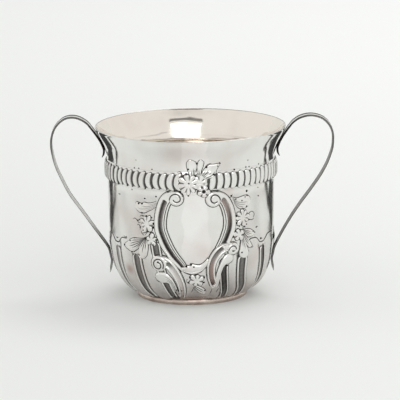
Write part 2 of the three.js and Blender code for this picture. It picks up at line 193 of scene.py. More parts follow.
flutes = {
    "count": 17,
    "shift": 0.9,
    "slant": 0.2,
    "archTop": 37.8,
    "archDip": 3.4,
    "archFrom": 34.5,
    "archLine": (29.5, girth - 38.5, 0.6),  # start, end and step of the chased line along the arches
    "grooveTop": 32.2,
    "width": 6.0,
    "crown": 0.95,
    "plain": ((1, 30), (20, 34)),           # flat under the scrolls: middle and half size
    "backFrom": 56,                         # regular grooves from here, as dark as this
    "backDark": 0.9,
    # grooves at the front as they really run, top first, with width and darkness
    "front": [
        ([(-48.5, 32.6), (-48.5, 24), (-48.2, 17), (-48.4, 10), (-48, 2)], 6.2, 0.85),
        ([(-31.9, 30.6), (-31.6, 24), (-31, 16), (-30.4, 10), (-29, 2)], 6.6, 0.95),
        ([(-19.4, 38.4), (-19, 34), (-18, 28), (-15.6, 16.8), (-13.6, 9), (-12, 2)], 5.4, 1.0),
        ([(17.6, 27), (18, 21), (19.4, 14.5), (21.2, 9), (23, 2)], 5.2, 1.15),
        ([(29.1, 29.6), (29.4, 22), (30.8, 16), (33.4, 10.6), (37, 2)], 6.6, 1.0),
        ([(44.6, 32.8), (46.2, 25.6), (48.2, 18), (50.6, 12), (54, 2)], 5.8, 1.1),
    ],
    # share across, height, tarnish, warmth
    "section": [
        (0, -0.3, 0.9, 0), (0.02, 0.25, 0.6, 0), (0.055, 0.62, 0.06, 0), (0.1, 0.8, 0, 0),
        (0.145, 0.68, 0, 0), (0.175, 0.42, 0.4, 0), (0.205, 0.2, 0.9, 0.2), (0.28, 0.1, 0.8, 0.3),
        (0.4, 0.06, 0.72, 0.3), (0.55, 0.06, 0.68, 0.2), (0.7, 0.09, 0.74, 0.2), (0.79, 0.2, 0.88, 0.2),
        (0.825, 0.42, 0.4, 0), (0.855, 0.68, 0, 0), (0.9, 0.8, 0, 0), (0.945, 0.62, 0.06, 0),
        (0.98, 0.25, 0.6, 0), (1, -0.3, 0.9, 0),
    ],
}


def fluteGrooves(f):
    # line, width and darkness of every groove; those at the back run regularly
    made = [(smoothLine(points), width, dark) for points, width, dark in f["front"]]
    for i in range(f["count"]):
        x = f["shift"] + i * girth / f["count"]
        if f["backFrom"] < x < girth - f["backFrom"]:
            top = (x + f["slant"] * (f["archTop"] / 2 - f["grooveTop"]), f["grooveTop"])
            bottom = (x + f["slant"] * f["archTop"] / 2, 1.0)
            made.append((smoothLine([top, bottom]), f["width"], f["backDark"]))
    return made


grooves = fluteGrooves(flutes)


def archAt(x, f):
    # height of the scalloped line over the lobes
    share = np.ones(np.shape(x))
    for line, _, _ in grooves:
        topX = line[0][0] + f["slant"] * (line[0][1] - f["archFrom"])
        share = np.minimum(share, np.abs(wrap(x - topX)) / (girth / f["count"] / 2))
    return f["archTop"] - f["archDip"] * (1 - ease((share - 0.12) / 0.72))


def paintFlutes(relief, f):
    # wide lobes between the grooves
    half = girth / f["count"] / 2
    nearest = np.full(len(relief.x), half * 1.24)
    for line, width, _ in grooves:
        for turn in (-girth, 0):
            index, distance = relief.near(line + [turn, 0], half * 1.24)
            nearest[index] = np.minimum(nearest[index], distance + (f["width"] - width) / 2)
    edge = f["width"] / 2 + 0.35
    lobe = np.clip((nearest - edge) / (half - edge), 0, 1)
    crown = f["crown"] * lobe * (2 - lobe) + 0.25 * ease((nearest - edge + 0.1) / 0.7)
    (middleX, middleY), (halfX, halfY) = f["plain"]
    crown *= ease((np.hypot((relief.x - middleX) / halfX, (relief.y - middleY) / halfY) - 0.9) / 0.25)
    arch = archAt(relief.x, f)
    under, foot = ease((arch + 0.5 - relief.y) / 1.5), ease((relief.y - 0.6) / 2.6)
    relief.lift += under * foot * crown * (0.25 + 0.75 * ease((arch - relief.y) / 5.5))
    relief.darken(0.85 * (1 - ease((nearest - edge + 0.35) / 0.35)) * ease((arch - 3 - relief.y) / 2))
    # darker where the wall turns under to the foot's seat: painted shade under the belly
    relief.darken(0.9 * (1 - ease((relief.y - 0.5) / 1.6)))


rope = {
    "middle": 70.5,
    "width": 9.9,
    "bulge": 0.9,
    "recess": 0.8,             # painted shade and tarnish between the lobes
    "recessHalf": 4.35,
    "pitch": 5.217,            # degrees from lobe to lobe
    "leftStart": -11.1,        # last recess left of the floret, and first right of it
    "rightStart": 11.8,
    "lobeHalfWidth": 1.92,
    "lobeHalfHeight": 4.7,
    "lobeRise": 1.42,
    "lobeGrid": (10, 16),
    "sunk": 0.55,
    "backDepth": 0.9,
    "lean": 0.06,
    "bend": (1.5, -1.0),       # how far the ends of a lobe turn to the right, left and right of the front
    "hook": (0.8, 0.0),
    "jitter": 0.35,            # degrees
    "seed": 11,
    "spread": {"Size Spread": 0.04, "Turn Spread": 0.035, "Seed": 7},
}


def bulgeAt(y):
    across = np.clip(np.abs(y - rope["middle"]) / (rope["width"] / 2), 0, 1)
    return rope["bulge"] * np.sqrt(1 - across ** 2)


def groundAt(y):
    # what an ornament lies on where it crosses the rope's lobes
    return 1.4 * ease((rope["width"] / 2 + 1 - np.abs(y - rope["middle"])) / 3)


# Sections across a scroll from its outer edge to its inner one: share, height, tarnish, warmth
mainSection = [
    (-0.012, -0.15, 0.9, 0), (0.02, 0.45, 0.3, 0), (0.06, 0.98, 0.04, 0), (0.13, 1.32, 0, 0),
    (0.2, 1.38, 0, 0), (0.26, 1.2, 0, 0), (0.3, 0.85, 0.12, 0), (0.335, 0.4, 0.7, 0.3),
    (0.37, 0.16, 0.95, 0.4), (0.44, 0.1, 0.93, 0.6), (0.53, 0.12, 0.82, 0.8), (0.61, 0.2, 0.7, 1),
    (0.66, 0.32, 0.5, 0.7), (0.685, 0.48, 0.15, 0.2), (0.71, 0.74, 0, 0), (0.745, 0.8, 0, 0),
    (0.775, 0.68, 0.05, 0), (0.79, 0.36, 0.75, 0), (0.815, 0.24, 0.9, 0), (0.835, 0.36, 0.75, 0),
    (0.855, 0.62, 0.05, 0), (0.885, 0.7, 0, 0), (0.925, 0.64, 0, 0), (0.95, 0.4, 0.3, 0),
    (0.965, 0.1, 0.85, 0), (0.985, -0.15, 0.8, 0),
]
plainSection = [
    (-0.012, -0.15, 0.9, 0), (0.02, 0.42, 0.35, 0), (0.06, 0.9, 0.04, 0), (0.13, 1.2, 0, 0),
    (0.19, 1.18, 0, 0), (0.235, 0.9, 0.1, 0.3), (0.27, 0.45, 0.6, 0.8), (0.31, 0.2, 0.9, 1),
    (0.4, 0.12, 0.85, 1), (0.5, 0.12, 0.8, 1), (0.6, 0.16, 0.78, 1), (0.68, 0.28, 0.7, 1),
    (0.725, 0.5, 0.3, 0.5), (0.76, 0.78, 0, 0), (0.82, 0.9, 0, 0), (0.88, 0.86, 0, 0), (0.93, 0.6, 0.08, 0),
    (0.965, 0.2, 0.6, 0), (1, -0.15, 0.9, 0),
]
scrolls = [
    # left side of the shield, from its foot to its volute
    {
        "outer": [
            (-5.2, 22.6), (-6.4, 23.6), (-8, 25.4), (-10.5, 28), (-13, 31), (-15.5, 34.5), (-17, 37.5),
            (-18.4, 41), (-19.3, 43.8), (-19.7, 47.2), (-19.6, 50.4), (-19, 54), (-18.2, 57), (-17, 60.2),
            (-15.5, 62.6), (-13.2, 64.6), (-10.6, 65.5), (-8.2, 65.8),
        ],
        "widths": [(0, 4.4), (0.1, 5.2), (0.3, 6.6), (0.6, 6.8), (0.85, 6.6), (1, 5.2)], "side": -1,
        "section": mainSection, "channel": (-0.1, 0.85), "round": (0.5, 0.5), "low": 0.2, "base": 0,
        "dark": [(0, 0.95), (0.3, 1), (0.6, 0.88), (0.8, 0.92), (1, 1)],
        "warm": [(0, 0.5), (0.35, 0.1), (0.6, 0.35), (1, 0.2)], "eye": (-7.7, 61.8), "radius": 3.95,
        "cuts": [(0.5, [
            (-11.4, 59.4), (-10.9, 61.4), (-10, 63.2), (-8.2, 64.2), (-6.4, 63.7), (-5.4, 62.2), (-5.6, 60.8),
            (-6.9, 60), (-8.2, 60.2), (-8.9, 61),
        ])],
    },
    # right side
    {
        "outer": [
            (17.4, 31.6), (19, 34.3), (20.6, 37.2), (22.2, 40.6), (23.5, 43.8), (24, 46.8), (24, 50),
            (23.6, 53), (22.8, 56), (21.5, 59), (19.5, 62), (17, 64), (14, 65.1), (11.6, 65.3),
        ],
        "widths": [(0, 6.2), (0.15, 6.5), (0.35, 7.2), (0.6, 7.1), (0.85, 6.4), (1, 5.2)], "side": 1,
        "section": mainSection, "channel": (-0.1, 0.85), "round": (0.5, 0.5), "low": 0.2, "base": 0,
        "dark": [(0, 1), (0.25, 0.98), (0.45, 0.85), (0.7, 0.62), (0.83, 0.7), (0.9, 1)],
        "warm": [(0, 0.1), (0.25, 0.2), (0.45, 1), (0.9, 1)], "eye": (11.5, 61.1), "radius": 4.15,
        "cuts": [(0.55, [
            (15.2, 59.6), (14.6, 61.6), (13.4, 63), (11.8, 63.5), (10.4, 62.7), (9.9, 61.2), (10.5, 59.8),
            (11.8, 59.2), (13.2, 59.7),
        ])],
    },
    # low scroll on the left
    {
        "outer": [
            (-4.8, 5), (-4.1, 7.5), (-3.6, 11), (-3.8, 15), (-4.6, 18.5), (-5.8, 21.5), (-7.4, 24.5),
            (-9.3, 27.3), (-11.5, 29.5), (-14, 30.9), (-17.2, 31.4),
        ],
        "widths": [(0, 4.2), (0.3, 4.8), (0.7, 5.4), (0.9, 6.2), (1, 5)], "side": 1, "section": plainSection,
        "channel": (-0.1, 0.84), "round": (0.5, 0.5), "low": 0.01, "base": 0.3,
        "dark": [(0, 0.6), (0.15, 0.42), (0.5, 0.36), (0.66, 0.42), (0.74, 0.8), (0.86, 1)],
        "warm": [(0, 0.6), (0.5, 0.3), (0.8, 0)], "eye": (-17.6, 27), "radius": 4.4,
        "cuts": [(0.5, [
            (-15.3, 24.6), (-14.9, 26.6), (-15.6, 28.5), (-17.2, 29.5), (-19, 29.1), (-20.2, 27.6),
            (-20.1, 25.8), (-18.9, 24.5), (-17.4, 24.4), (-16.4, 25.5), (-16.6, 27), (-17.7, 27.7),
        ])],
    },
    # low scroll on the right
    {
        "outer": [
            (12.6, 12), (11, 13.2), (9.8, 15.4), (8.6, 18.6), (8, 22), (8, 26), (8.9, 29.5), (10.5, 32.5),
            (12.5, 35), (14.8, 36.7), (17.3, 37.6), (19.6, 37.8), (22, 37.5),
        ],
        "widths": [(0, 4.6), (0.12, 4.7), (0.4, 5), (0.7, 5.4), (0.9, 5.2), (1, 4.2)], "side": -1,
        "section": plainSection, "channel": (0.03, 0.84), "round": (2.2, 0.5), "low": 0.01, "base": 0.3,
        "dark": [(0, 1), (0.1, 0.85), (0.2, 0.66), (0.45, 0.62), (0.6, 0.78), (0.85, 0.95)],
        "warm": [(0, 1), (0.45, 1), (0.62, 0.3), (1, 0)], "eye": (22.3, 34.2), "radius": 3.3,
        "cuts": [
            (0.45, [(19.4, 33.6), (20.4, 35), (21.8, 35.8), (23.2, 35.2), (23.8, 34)]),
            (0.35, [(21.5, 33.2), (22.2, 32.9), (22.9, 33.2)]),
        ],
    },
]

# Leaves: both edges from the stalk to the tip, lengthwise veins as shares across with how far they run,
# height of what each lies on, and its own height
leaves = {
    "upperLeft": {
        "over": [
            (-18.2, 59.8), (-20.4, 58.9), (-23, 58.4), (-25.6, 58.6), (-27, 57.9), (-28.6, 58.1),
            (-30.3, 58.4), (-31.6, 57.2),
        ],
        "under": [
            (-18.4, 57), (-20.6, 55.4), (-23, 54.2), (-25, 53.2), (-27, 52.9), (-29.2, 53.4), (-30.8, 54.8),
            (-31.6, 57),
        ],
        "veins": [(0.2, 0.5), (0.42, 0.75), (0.62, 0.9), (0.82, 0.6)], "base": 0, "rise": 0.7, "dark": 0.5,
    },
    "left": {
        "over": [
            (-24.2, 40.6), (-27, 39.4), (-30, 39.1), (-33, 38.9), (-35.6, 37.9), (-38, 36.2), (-40.2, 34.8),
        ],
        "under": [
            (-24.8, 39.6), (-26.8, 37.2), (-29, 34.8), (-31.4, 32.8), (-34.2, 31.4), (-37.4, 32.4),
            (-40.2, 34.4),
        ],
        "veins": [(0.16, 0.75), (0.34, 0.8), (0.52, 0.85), (0.7, 0.75), (0.86, 0.6)], "base": 0.5,
        "rise": 0.75, "dark": 0.95,
    },
    "leftDown": {
        "over": [(-24, 39.6), (-23.6, 36.4), (-23.7, 33.2), (-24.4, 30.6), (-26, 29), (-27.2, 28.5)],
        "under": [(-25, 39.6), (-27.6, 37), (-29.2, 34.4), (-29.4, 31.6), (-28.6, 29.4), (-27.4, 28.5)],
        "veins": [(0.25, 0.6), (0.5, 0.75), (0.75, 0.6)], "base": 0.6, "rise": 0.85, "dark": 0.95,
    },
    "upperRight": {
        "over": [
            (22.2, 61.2), (24.4, 60.4), (27.2, 60.8), (30, 61.2), (32.4, 60.6), (33.8, 59), (33.8, 57.6),
        ],
        "under": [(22.8, 59.4), (24, 57), (26, 55), (28.6, 54.2), (31, 54.8), (32.8, 56), (33.7, 57.4)],
        "veins": [(0.3, 0.4), (0.5, 0.85), (0.66, 0.8), (0.84, 0.75)], "base": 0, "rise": 0.7, "dark": 0.6,
    },
    "right": {
        "over": [(28.4, 44.2), (30.6, 43.5), (33, 43.1), (35.4, 42), (37.4, 40.2)],
        "under": [(28.8, 43), (30.2, 40.8), (32, 39), (34.4, 38.8), (37.3, 40)],
        "veins": [(0.3, 0.7), (0.52, 0.8), (0.75, 0.7)], "base": 0.1, "rise": 0.65, "dark": 0.7,
    },
    "rightDown": {
        "over": [(29.4, 41), (31.4, 38.8), (33, 37), (34.2, 35.2), (34.9, 33.6)],
        "under": [(28.4, 40.2), (29.2, 37.8), (31, 35.2), (32.8, 33.4), (34.7, 33.3)],
        "veins": [(0.35, 0.7), (0.68, 0.8)], "base": 0.4, "rise": 0.6, "dark": 0.75,
    },
    "rightLow": {
        "over": [(28.4, 38.6), (30.4, 35.6), (32, 32.6), (32.5, 30.2), (31.4, 28.7), (29.8, 28.2)],
        "under": [(27.6, 38.6), (27, 35), (26.5, 31.4), (27, 29.4), (28.2, 28.5), (29.5, 28.2)],
        "veins": [(0.4, 0.6), (0.7, 0.5)], "base": 0.6, "rise": 0.8, "dark": 0.7,
    },
    "bottom": {
        "over": [(1.8, 14), (4.2, 13.7), (6.4, 12.5), (8.1, 10.9), (9, 8.6)],
        "under": [(1.2, 13.2), (1.8, 11.2), (3.6, 9.4), (6, 7.8), (8.8, 7.2)],
        "veins": [(0.3, 0.8), (0.6, 0.85), (0.85, 0.6)], "base": 0, "rise": 0.55, "dark": 0.8,
    },
    "topLeft": {
        "over": [(-0.4, 73.6), (-1.3, 76), (-2, 78.6), (-1.9, 81), (-0.6, 82.8)],
        "under": [(1.6, 73.4), (2.4, 75.8), (3.1, 78.4), (2.4, 81.2), (-0.4, 82.8)],
        "veins": [(0.42, 0.45), (0.68, 0.55), (0.86, 0.5)], "base": 0, "rise": 0.55, "dark": 0.75,
    },
    "topRight": {
        "over": [(2.8, 73.2), (3.3, 76), (3.3, 79), (3.9, 81.6), (4.9, 82.6)],
        "under": [(4.6, 72.8), (5.2, 75.6), (6.2, 78.4), (6.5, 81), (5.1, 82.6)],
        "veins": [(0.25, 0.5), (0.6, 0.5)], "base": 0, "rise": 0.55, "dark": 0.75,
    },
    "topSide": {
        "over": [(4.2, 72.8), (5.6, 75.2), (7.2, 77.6), (9.4, 79.3), (12, 79.6), (14.9, 80)],
        "under": [(4.8, 70.6), (7.4, 71.9), (10.4, 72.7), (12.2, 74.2), (13.6, 77), (15, 79.7)],
        "veins": [(0.22, 0.5), (0.4, 0.6), (0.6, 0.5), (0.85, 0.8)], "base": 0, "rise": 0.65, "dark": 0.85,
    },
    "tongue": {
        "over": [
            (12.6, 12.6), (13, 17), (13.6, 21.4), (14.9, 25.6), (16.8, 29.4), (18.8, 31.3), (20.8, 31.6),
            (22.6, 30.4), (22.9, 28.8),
        ],
        "under": [
            (15.8, 12.6), (16, 16.6), (16.4, 20.4), (17.3, 23.8), (18.8, 25.6), (20.4, 26), (21.8, 26.8),
            (22.6, 27.8), (22.9, 28.6),
        ],
        "veins": [], "base": 0.1, "rise": 0.95, "dark": 0,
    },
    "curled": {
        "over": [
            (-8.6, 9.6), (-9.2, 13.6), (-10.4, 17.4), (-12.6, 20.2), (-15.4, 21.9), (-18.2, 21.9),
            (-20.2, 21), (-21, 19.5),
        ],
        "under": [
            (-11.6, 9.8), (-12.2, 12.8), (-13, 14.9), (-14.4, 15.8), (-16.4, 15.6), (-18.4, 15.9),
            (-20.2, 17.2), (-21, 19.2),
        ],
        "veins": [(0.28, 0.8), (0.46, 0.75), (0.64, 0.7)], "base": 0.2, "rise": 0.95, "dark": 0.55,
    },
    "crescent": {
        "over": [
            (-5.8, 25.2), (-4, 25.3), (-2.6, 26.4), (-1.4, 26.2), (0, 27.2), (2, 26.8), (4.4, 26.7),
            (6.6, 28), (8.6, 30.2),
        ],
        "under": [
            (-5.8, 23.6), (-4, 22.5), (-1.6, 21.5), (1, 21.1), (3.6, 21.8), (5.8, 23.2), (7.6, 25.2),
            (8.6, 27.4), (8.9, 29.6),
        ],
        "veins": [(0.72, 0.9)], "base": 0.1, "rise": 1, "dark": 0.3,
    },
}

# Florets: petal tips as angle, radius and radius of the notch after it; height of what each lies on,
# its own height and the eye
florets = {
    "top": {
        "middle": (-1.1, 69.6), "rise": 1.1, "base": 1.35,
        "tips": [
            (22, 5, 4.8), (62, 5.3, 4.2), (103, 5.6, 4.4), (148, 6.1, 4.2), (194, 5.9, 4.5), (234, 6, 4.3),
            (267, 6.2, 4.2), (303, 5.4, 4.6), (338, 5, 4.7),
        ],
    },
    "topBack": {
        "middle": (4.3, 70.1), "rise": 0.85, "base": 1.2,
        "tips": [
            (10, 3.9, 3.2), (70, 4.2, 3.3), (125, 3.9, 3.4), (200, 3.6, 3.3), (270, 3.9, 3.2),
            (325, 4.1, 3.2),
        ],
    },
    "topSmall": {
        "middle": (6.3, 65.6), "rise": 1.3, "base": 1.1, "eye": 0.95,
        "tips": [(70, 3.3, 2.7), (140, 3.2, 2.6), (205, 3.4, 2.8), (275, 3.3, 2.7), (350, 3.5, 2.6)],
    },
    "left": {
        "middle": (-23.8, 47.4), "rise": 0.95, "base": 0,
        "tips": [
            (24, 4.3, 2.9), (70, 4.9, 3.5), (112, 4.2, 2.6), (150, 4.9, 3), (196, 3.9, 2.9), (240, 5.8, 3.4),
            (300, 4.6, 2.6),
        ],
    },
    "leftSmall": {
        "middle": (-21.2, 39.2), "rise": 0.9, "base": 0.25,
        "tips": [(12, 3, 2.2), (85, 3.9, 2.4), (160, 3.1, 2.5), (228, 3.4, 2.2), (300, 3.5, 2.3)],
    },
    "right": {
        "middle": (28, 49.8), "rise": 0.95, "base": 0,
        "tips": [
            (6, 5.3, 3.6), (52, 4.4, 3.6), (88, 4.9, 3), (135, 4.2, 3.2), (184, 4, 3), (232, 4.9, 3.6),
            (290, 5.2, 3.2), (332, 4.6, 3.3),
        ],
    },
    "rightSmall": {
        "middle": (25.7, 41), "rise": 0.9, "base": 0.2,
        "tips": [(35, 3.6, 2.5), (100, 3.3, 2.7), (165, 3.7, 2.4), (245, 3.3, 2.6), (310, 3.8, 2.5)],
    },
    "bottom": {
        "middle": (2.6, 17.4), "rise": 0.85, "base": 0,
        "tips": [
            (25, 4.8, 3.3), (78, 3.5, 2.9), (135, 4.6, 3.1), (200, 4.5, 3), (255, 3.6, 3), (320, 4.4, 3.2),
        ],
    },
}

# Plain shield, stains (place, size, strength), punched dots (place, radius) and chased lines
marks = {
    "shield": [
        (-9, 61), (-12.3, 55), (-13.2, 48), (-11, 40), (-7, 32.5), (-3, 26), (4, 26), (9.4, 31.6), (14.6, 38),
        (17, 46), (15.6, 54), (12.6, 61), (7, 63.4), (2, 63.8), (-4, 63.6),
    ],
    "shieldLift": 0.1,
    "stains": [
        (-38, 21.5, 2.6, 0.7), (-33, 48, 7, 0.2), (-30, 43, 4, 0.25), (7, 33, 5, 0.2), (18, 78, 6, 0.2),
        (20, 65, 3.5, 0.3), (-8, 84, 8, 0.15), (36, 26, 5, 0.2), (-44, 12, 6, 0.3), (48, 14, 6, 0.25),
    ],
    "dots": [
        (-2.8, 25.8, 0.6), (-0.4, 26.7, 0.65), (1.1, 25.6, 0.45), (2, 20.9, 0.5), (-1, 19.4, 0.55),
        (6.7, 19.3, 0.55), (-1.9, 16.3, 0.5), (6.9, 16, 0.6), (-2.8, 17.9, 0.35), (7.8, 10.7, 0.45),
        (-9.3, 11.3, 0.45), (-6.4, 10.7, 0.45), (18.1, 31.3, 0.5), (19.4, 25.3, 0.45), (21.8, 33.2, 0.45),
        (-17.7, 28, 0.55), (3, 80.3, 0.5), (-1.2, 77.3, 0.5), (7.9, 78.2, 0.6), (13.6, 78.6, 0.4),
        (14.8, 79.9, 0.4), (11.6, 74.2, 0.55), (-2.2, 74.6, 0.4), (5.2, 67.6, 0.4), (-1.3, 63.6, 0.45),
        (-1, 70.1, 0.45), (-28.8, 57.7, 0.5), (-26.7, 57.8, 0.5), (-25.2, 60.6, 0.4), (-18.5, 62.2, 0.5),
        (-27, 52.9, 0.45), (-26.5, 51.3, 0.4), (-24.3, 51.6, 0.4), (-21.3, 50.9, 0.5), (-20, 48, 0.5),
        (-20.5, 45.8, 0.75), (-22.2, 42.8, 0.5), (-23.4, 43.4, 0.45), (-26, 44, 0.4), (-28.4, 45.2, 0.45),
        (-28.7, 49.2, 0.45), (-29.8, 48.7, 0.4), (-18.6, 39.5, 0.5), (-20.4, 36.7, 0.5), (-22.1, 42.1, 0.4),
        (-35, 37.4, 0.45), (-39.8, 34.4, 0.45), (-34.8, 31.4, 0.45), (-48.2, 36.6, 0.4), (-39, 38.4, 0.4),
        (-44, 60.4, 0.35), (-33.5, 64.4, 0.4), (31.2, 63.3, 0.7), (31.4, 61, 0.5), (29.8, 60.4, 0.35),
        (28.4, 54.2, 0.45), (30.8, 55.4, 0.45), (27.6, 58.8, 0.45), (21.4, 62, 0.45), (24, 60, 0.35),
        (24.2, 51, 0.55), (24.3, 47.3, 0.6), (23.4, 43.2, 0.5), (22.5, 40, 0.5), (26.3, 45.2, 0.4),
        (29.5, 44.9, 0.4), (31.2, 45.8, 0.4), (26, 43.8, 0.4), (35.4, 41.5, 0.45), (36.6, 40.8, 0.35),
        (27.6, 31.5, 0.5), (32.8, 31.3, 0.4), (43.2, 36.4, 0.45), (38.6, 43, 0.35), (32.8, 47.9, 0.4),
        (39.9, 63.8, 0.35), (40.2, 59.4, 0.35), (23.2, 75.6, 0.45), (30.6, 76, 0.4), (31.4, 79.6, 0.35),
        (32.8, 75.9, 0.35), (40.3, 76.2, 0.4), (-20.4, 76.4, 0.4), (-28.4, 76.2, 0.4), (-31.4, 76.1, 0.4),
        (-29.5, 80.6, 0.3),
    ],
    "lines": [
        # left of the shield
        [(-25.4, 61), (-24.2, 60.4)], [(-33.4, 48.8), (-32, 49.5), (-30.6, 48.8), (-29.4, 47.6), (-28, 47.6)],
        [(-30.6, 45.8), (-29.6, 46.6), (-28.4, 45.4), (-28.6, 43.8)], [(-28, 43.4), (-27.4, 42), (-26, 41)],
        [(-28.6, 50.6), (-27.4, 51.6), (-26, 51.4)], [(-25.4, 41.2), (-24.4, 42.6), (-23, 43.2)],
        [(-22.6, 37), (-22.2, 34), (-21.6, 30.8)], [(-16.6, 35.6), (-15.6, 32.4)],
        [(-41.4, 38.8), (-40, 38.4), (-38.4, 38.8)], [(-45.4, 60.6), (-44, 60.2)],
        [(-50, 36.8), (-48.6, 36.4), (-47, 36.8)],
        # right of the shield
        [(31, 52.2), (32.6, 51.2), (34.4, 52), (36, 51.6), (36.8, 50.2), (36, 48.6)],
        [(32, 48.8), (33.4, 48), (35.2, 47.6), (36.6, 48.2)], [(22.2, 62.8), (21.6, 61.4), (20, 61.2)],
        [(24, 57.6), (25.6, 55.6), (28, 54.4)], [(42.2, 36.6), (43.2, 35.8), (44.4, 36.4)],
        [(38, 43), (39, 43.4), (40, 42.8)], [(24.9, 32.6), (25.1, 30), (25.4, 27.6)],
        [(33.6, 34.6), (34.6, 33.2), (35.4, 33.8)], [(30.4, 54.2), (31.2, 55.6), (30.2, 56.2)],
        [(39.4, 59.8), (40.4, 59.4)],
        # under the shield
        [(-4.6, 22.4), (-2, 21.2), (1, 20.7), (3.4, 21.2)], [(4.3, 21.6), (6.9, 24)],
        [(0.2, 15), (1.2, 14.4), (2, 13.6)], [(1.2, 13.2), (0, 10.2), (-0.4, 9)], [(16.6, 11.4), (15.6, 7.8)],
        [(12.4, 11.2), (11.8, 7)], [(-3.4, 17.6), (-2.6, 16), (-1.6, 15.2)],
        [(18.6, 26.6), (19.6, 25.7), (20.6, 26.2)],
        # round the top leaves
        [(-1.6, 77), (-0.2, 74.6), (0.6, 73.8)], [(7.4, 78.6), (8.6, 79.6), (10.6, 80.2)],
        [(13.4, 74.2), (12.6, 75.6), (13.4, 77)], [(-6.8, 75.6), (-5.4, 75.8), (-4.2, 74.9)],
        [(9.7, 67.4), (10, 65.6), (9.4, 63.9)],
    ],
}


def paintField(relief, points, lift):
    # clears the ground inside a closed outline
    ring = smoothLine([*points, points[0]])
    inside = np.zeros(len(relief.x), bool)
    for (ax, ay), (bx, by) in zip(ring[:-1], ring[1:]):
        if ay != by:
            crosses = (ay > relief.y) != (by > relief.y)
            inside ^= crosses & (relief.x < (bx - ax) * (relief.y - ay) / (by - ay) + ax)
    relief.lift[inside], relief.tarnish[inside], relief.warmth[inside] = lift, 0, 0


def groundLift(x, y):
    # height of the sheet where a mark is cut
    ground = Relief(np.ravel(x), np.ravel(y))
    paintFlutes(ground, flutes)
    paintField(ground, marks["shield"], marks["shieldLift"])
    return (ground.lift + groundAt(ground.y)).reshape(np.shape(x))


def withFlange(x, y, lift, tarnish, warmth, reach=0.32):
    # a narrow dark border on the sheet, both sides of a form
    wide = []
    for edge, inner in ((0, 1), (-1, -2)):
        outX, outY = x[:, edge] - x[:, inner], y[:, edge] - y[:, inner]
        size = np.maximum(np.hypot(outX, outY), 0.02)
        for far in (reach, reach * 0.9):
            wide.append((x[:, edge] + outX / size * far, y[:, edge] + outY / size * far))
        lift[:, edge] = 0.07 + groundLift(x[:, edge], y[:, edge])
    low, flat = np.full(len(x), -0.2), [0.05 + groundLift(*wide[k]) for k in (1, 3)]
    grid = [np.column_stack([wide[0][k], wide[1][k], (x, y)[k], wide[3][k], wide[2][k]]) for k in (0, 1)]
    dark = np.full((len(x), 2), 0.9)
    return (*grid, np.column_stack([low, flat[0], lift, flat[1], low]),
            np.column_stack([dark, tarnish, dark]), np.column_stack([dark * 0, warmth, dark * 0]))


def scrollGrid(band):
    # points, heights and finish over one scroll or groove, row by row along it
    line = smoothLine(band["outer"], 0.42)
    run = runAlong(line)
    share = run / run[-1]
    along = heading(line, 4)
    inward = np.stack([-along[:, 1], along[:, 0]], -1) * band["side"]
    startRound, endRound = band["round"]
    ends = np.minimum(np.clip(run / startRound, 0.02, 1), np.clip((run[-1] - run) / endRound, 0.02, 1))
    taper = np.sqrt(1 - (1 - ends) ** 2)[:, None]
    at, height, finish, tint = np.array(band["section"], float).T
    centred = band.get("centred", False)
    offset = (0.5 + (at - 0.5) * taper - 0.5 * centred) * tableAt(band["widths"], share)[:, None]
    x, y = line[:, :1] + inward[:, :1] * offset, line[:, 1:] + inward[:, 1:] * offset
    low, high = (v * run[-1] for v in band["channel"])
    bow = 1.3 * (1 - np.sqrt(np.clip(1 - ((at - 0.5) / 0.22) ** 2, 0, 1)))  # a channel has rounded ends
    fade = ease((run[:, None] - low - bow) / 0.7) * ease((high - bow - run[:, None]) / 0.7)
    inner = (at > 0.18) & (at < 0.82) if centred else (at > 0.27) & (at < 0.7)
    lift = np.where(inner, height * fade + (1.15 - 0.6 * (at - 0.27)) * (1 - fade), height)
    dark, warm = (tableAt(band[key], share)[:, None] for key in ("dark", "warm"))
    tarnish = np.where(inner, finish * fade * dark, finish)
    grow = np.interp(share, [0, band["low"], 1], [0.5, 1, 1])[:, None]
    lift = -0.15 + (lift + 0.15) * ease(taper * 1.4) * grow
    lift[:, 1:-1] += band["base"]
    return withFlange(x, y, lift, tarnish, tint * warm * fade)


def grooveBand(line, width, dark):
    return {
        "outer": line[::6], "widths": [(0, width), (1, width)], "side": 1, "section": flutes["section"],
        "channel": (-0.2, 1.2), "round": (2.6, 0.3), "dark": [(0, dark), (0.5, dark), (1, 1)],
        "warm": [(0, 0.1), (1, 1)], "low": 0.01, "base": 0, "centred": True,
    }


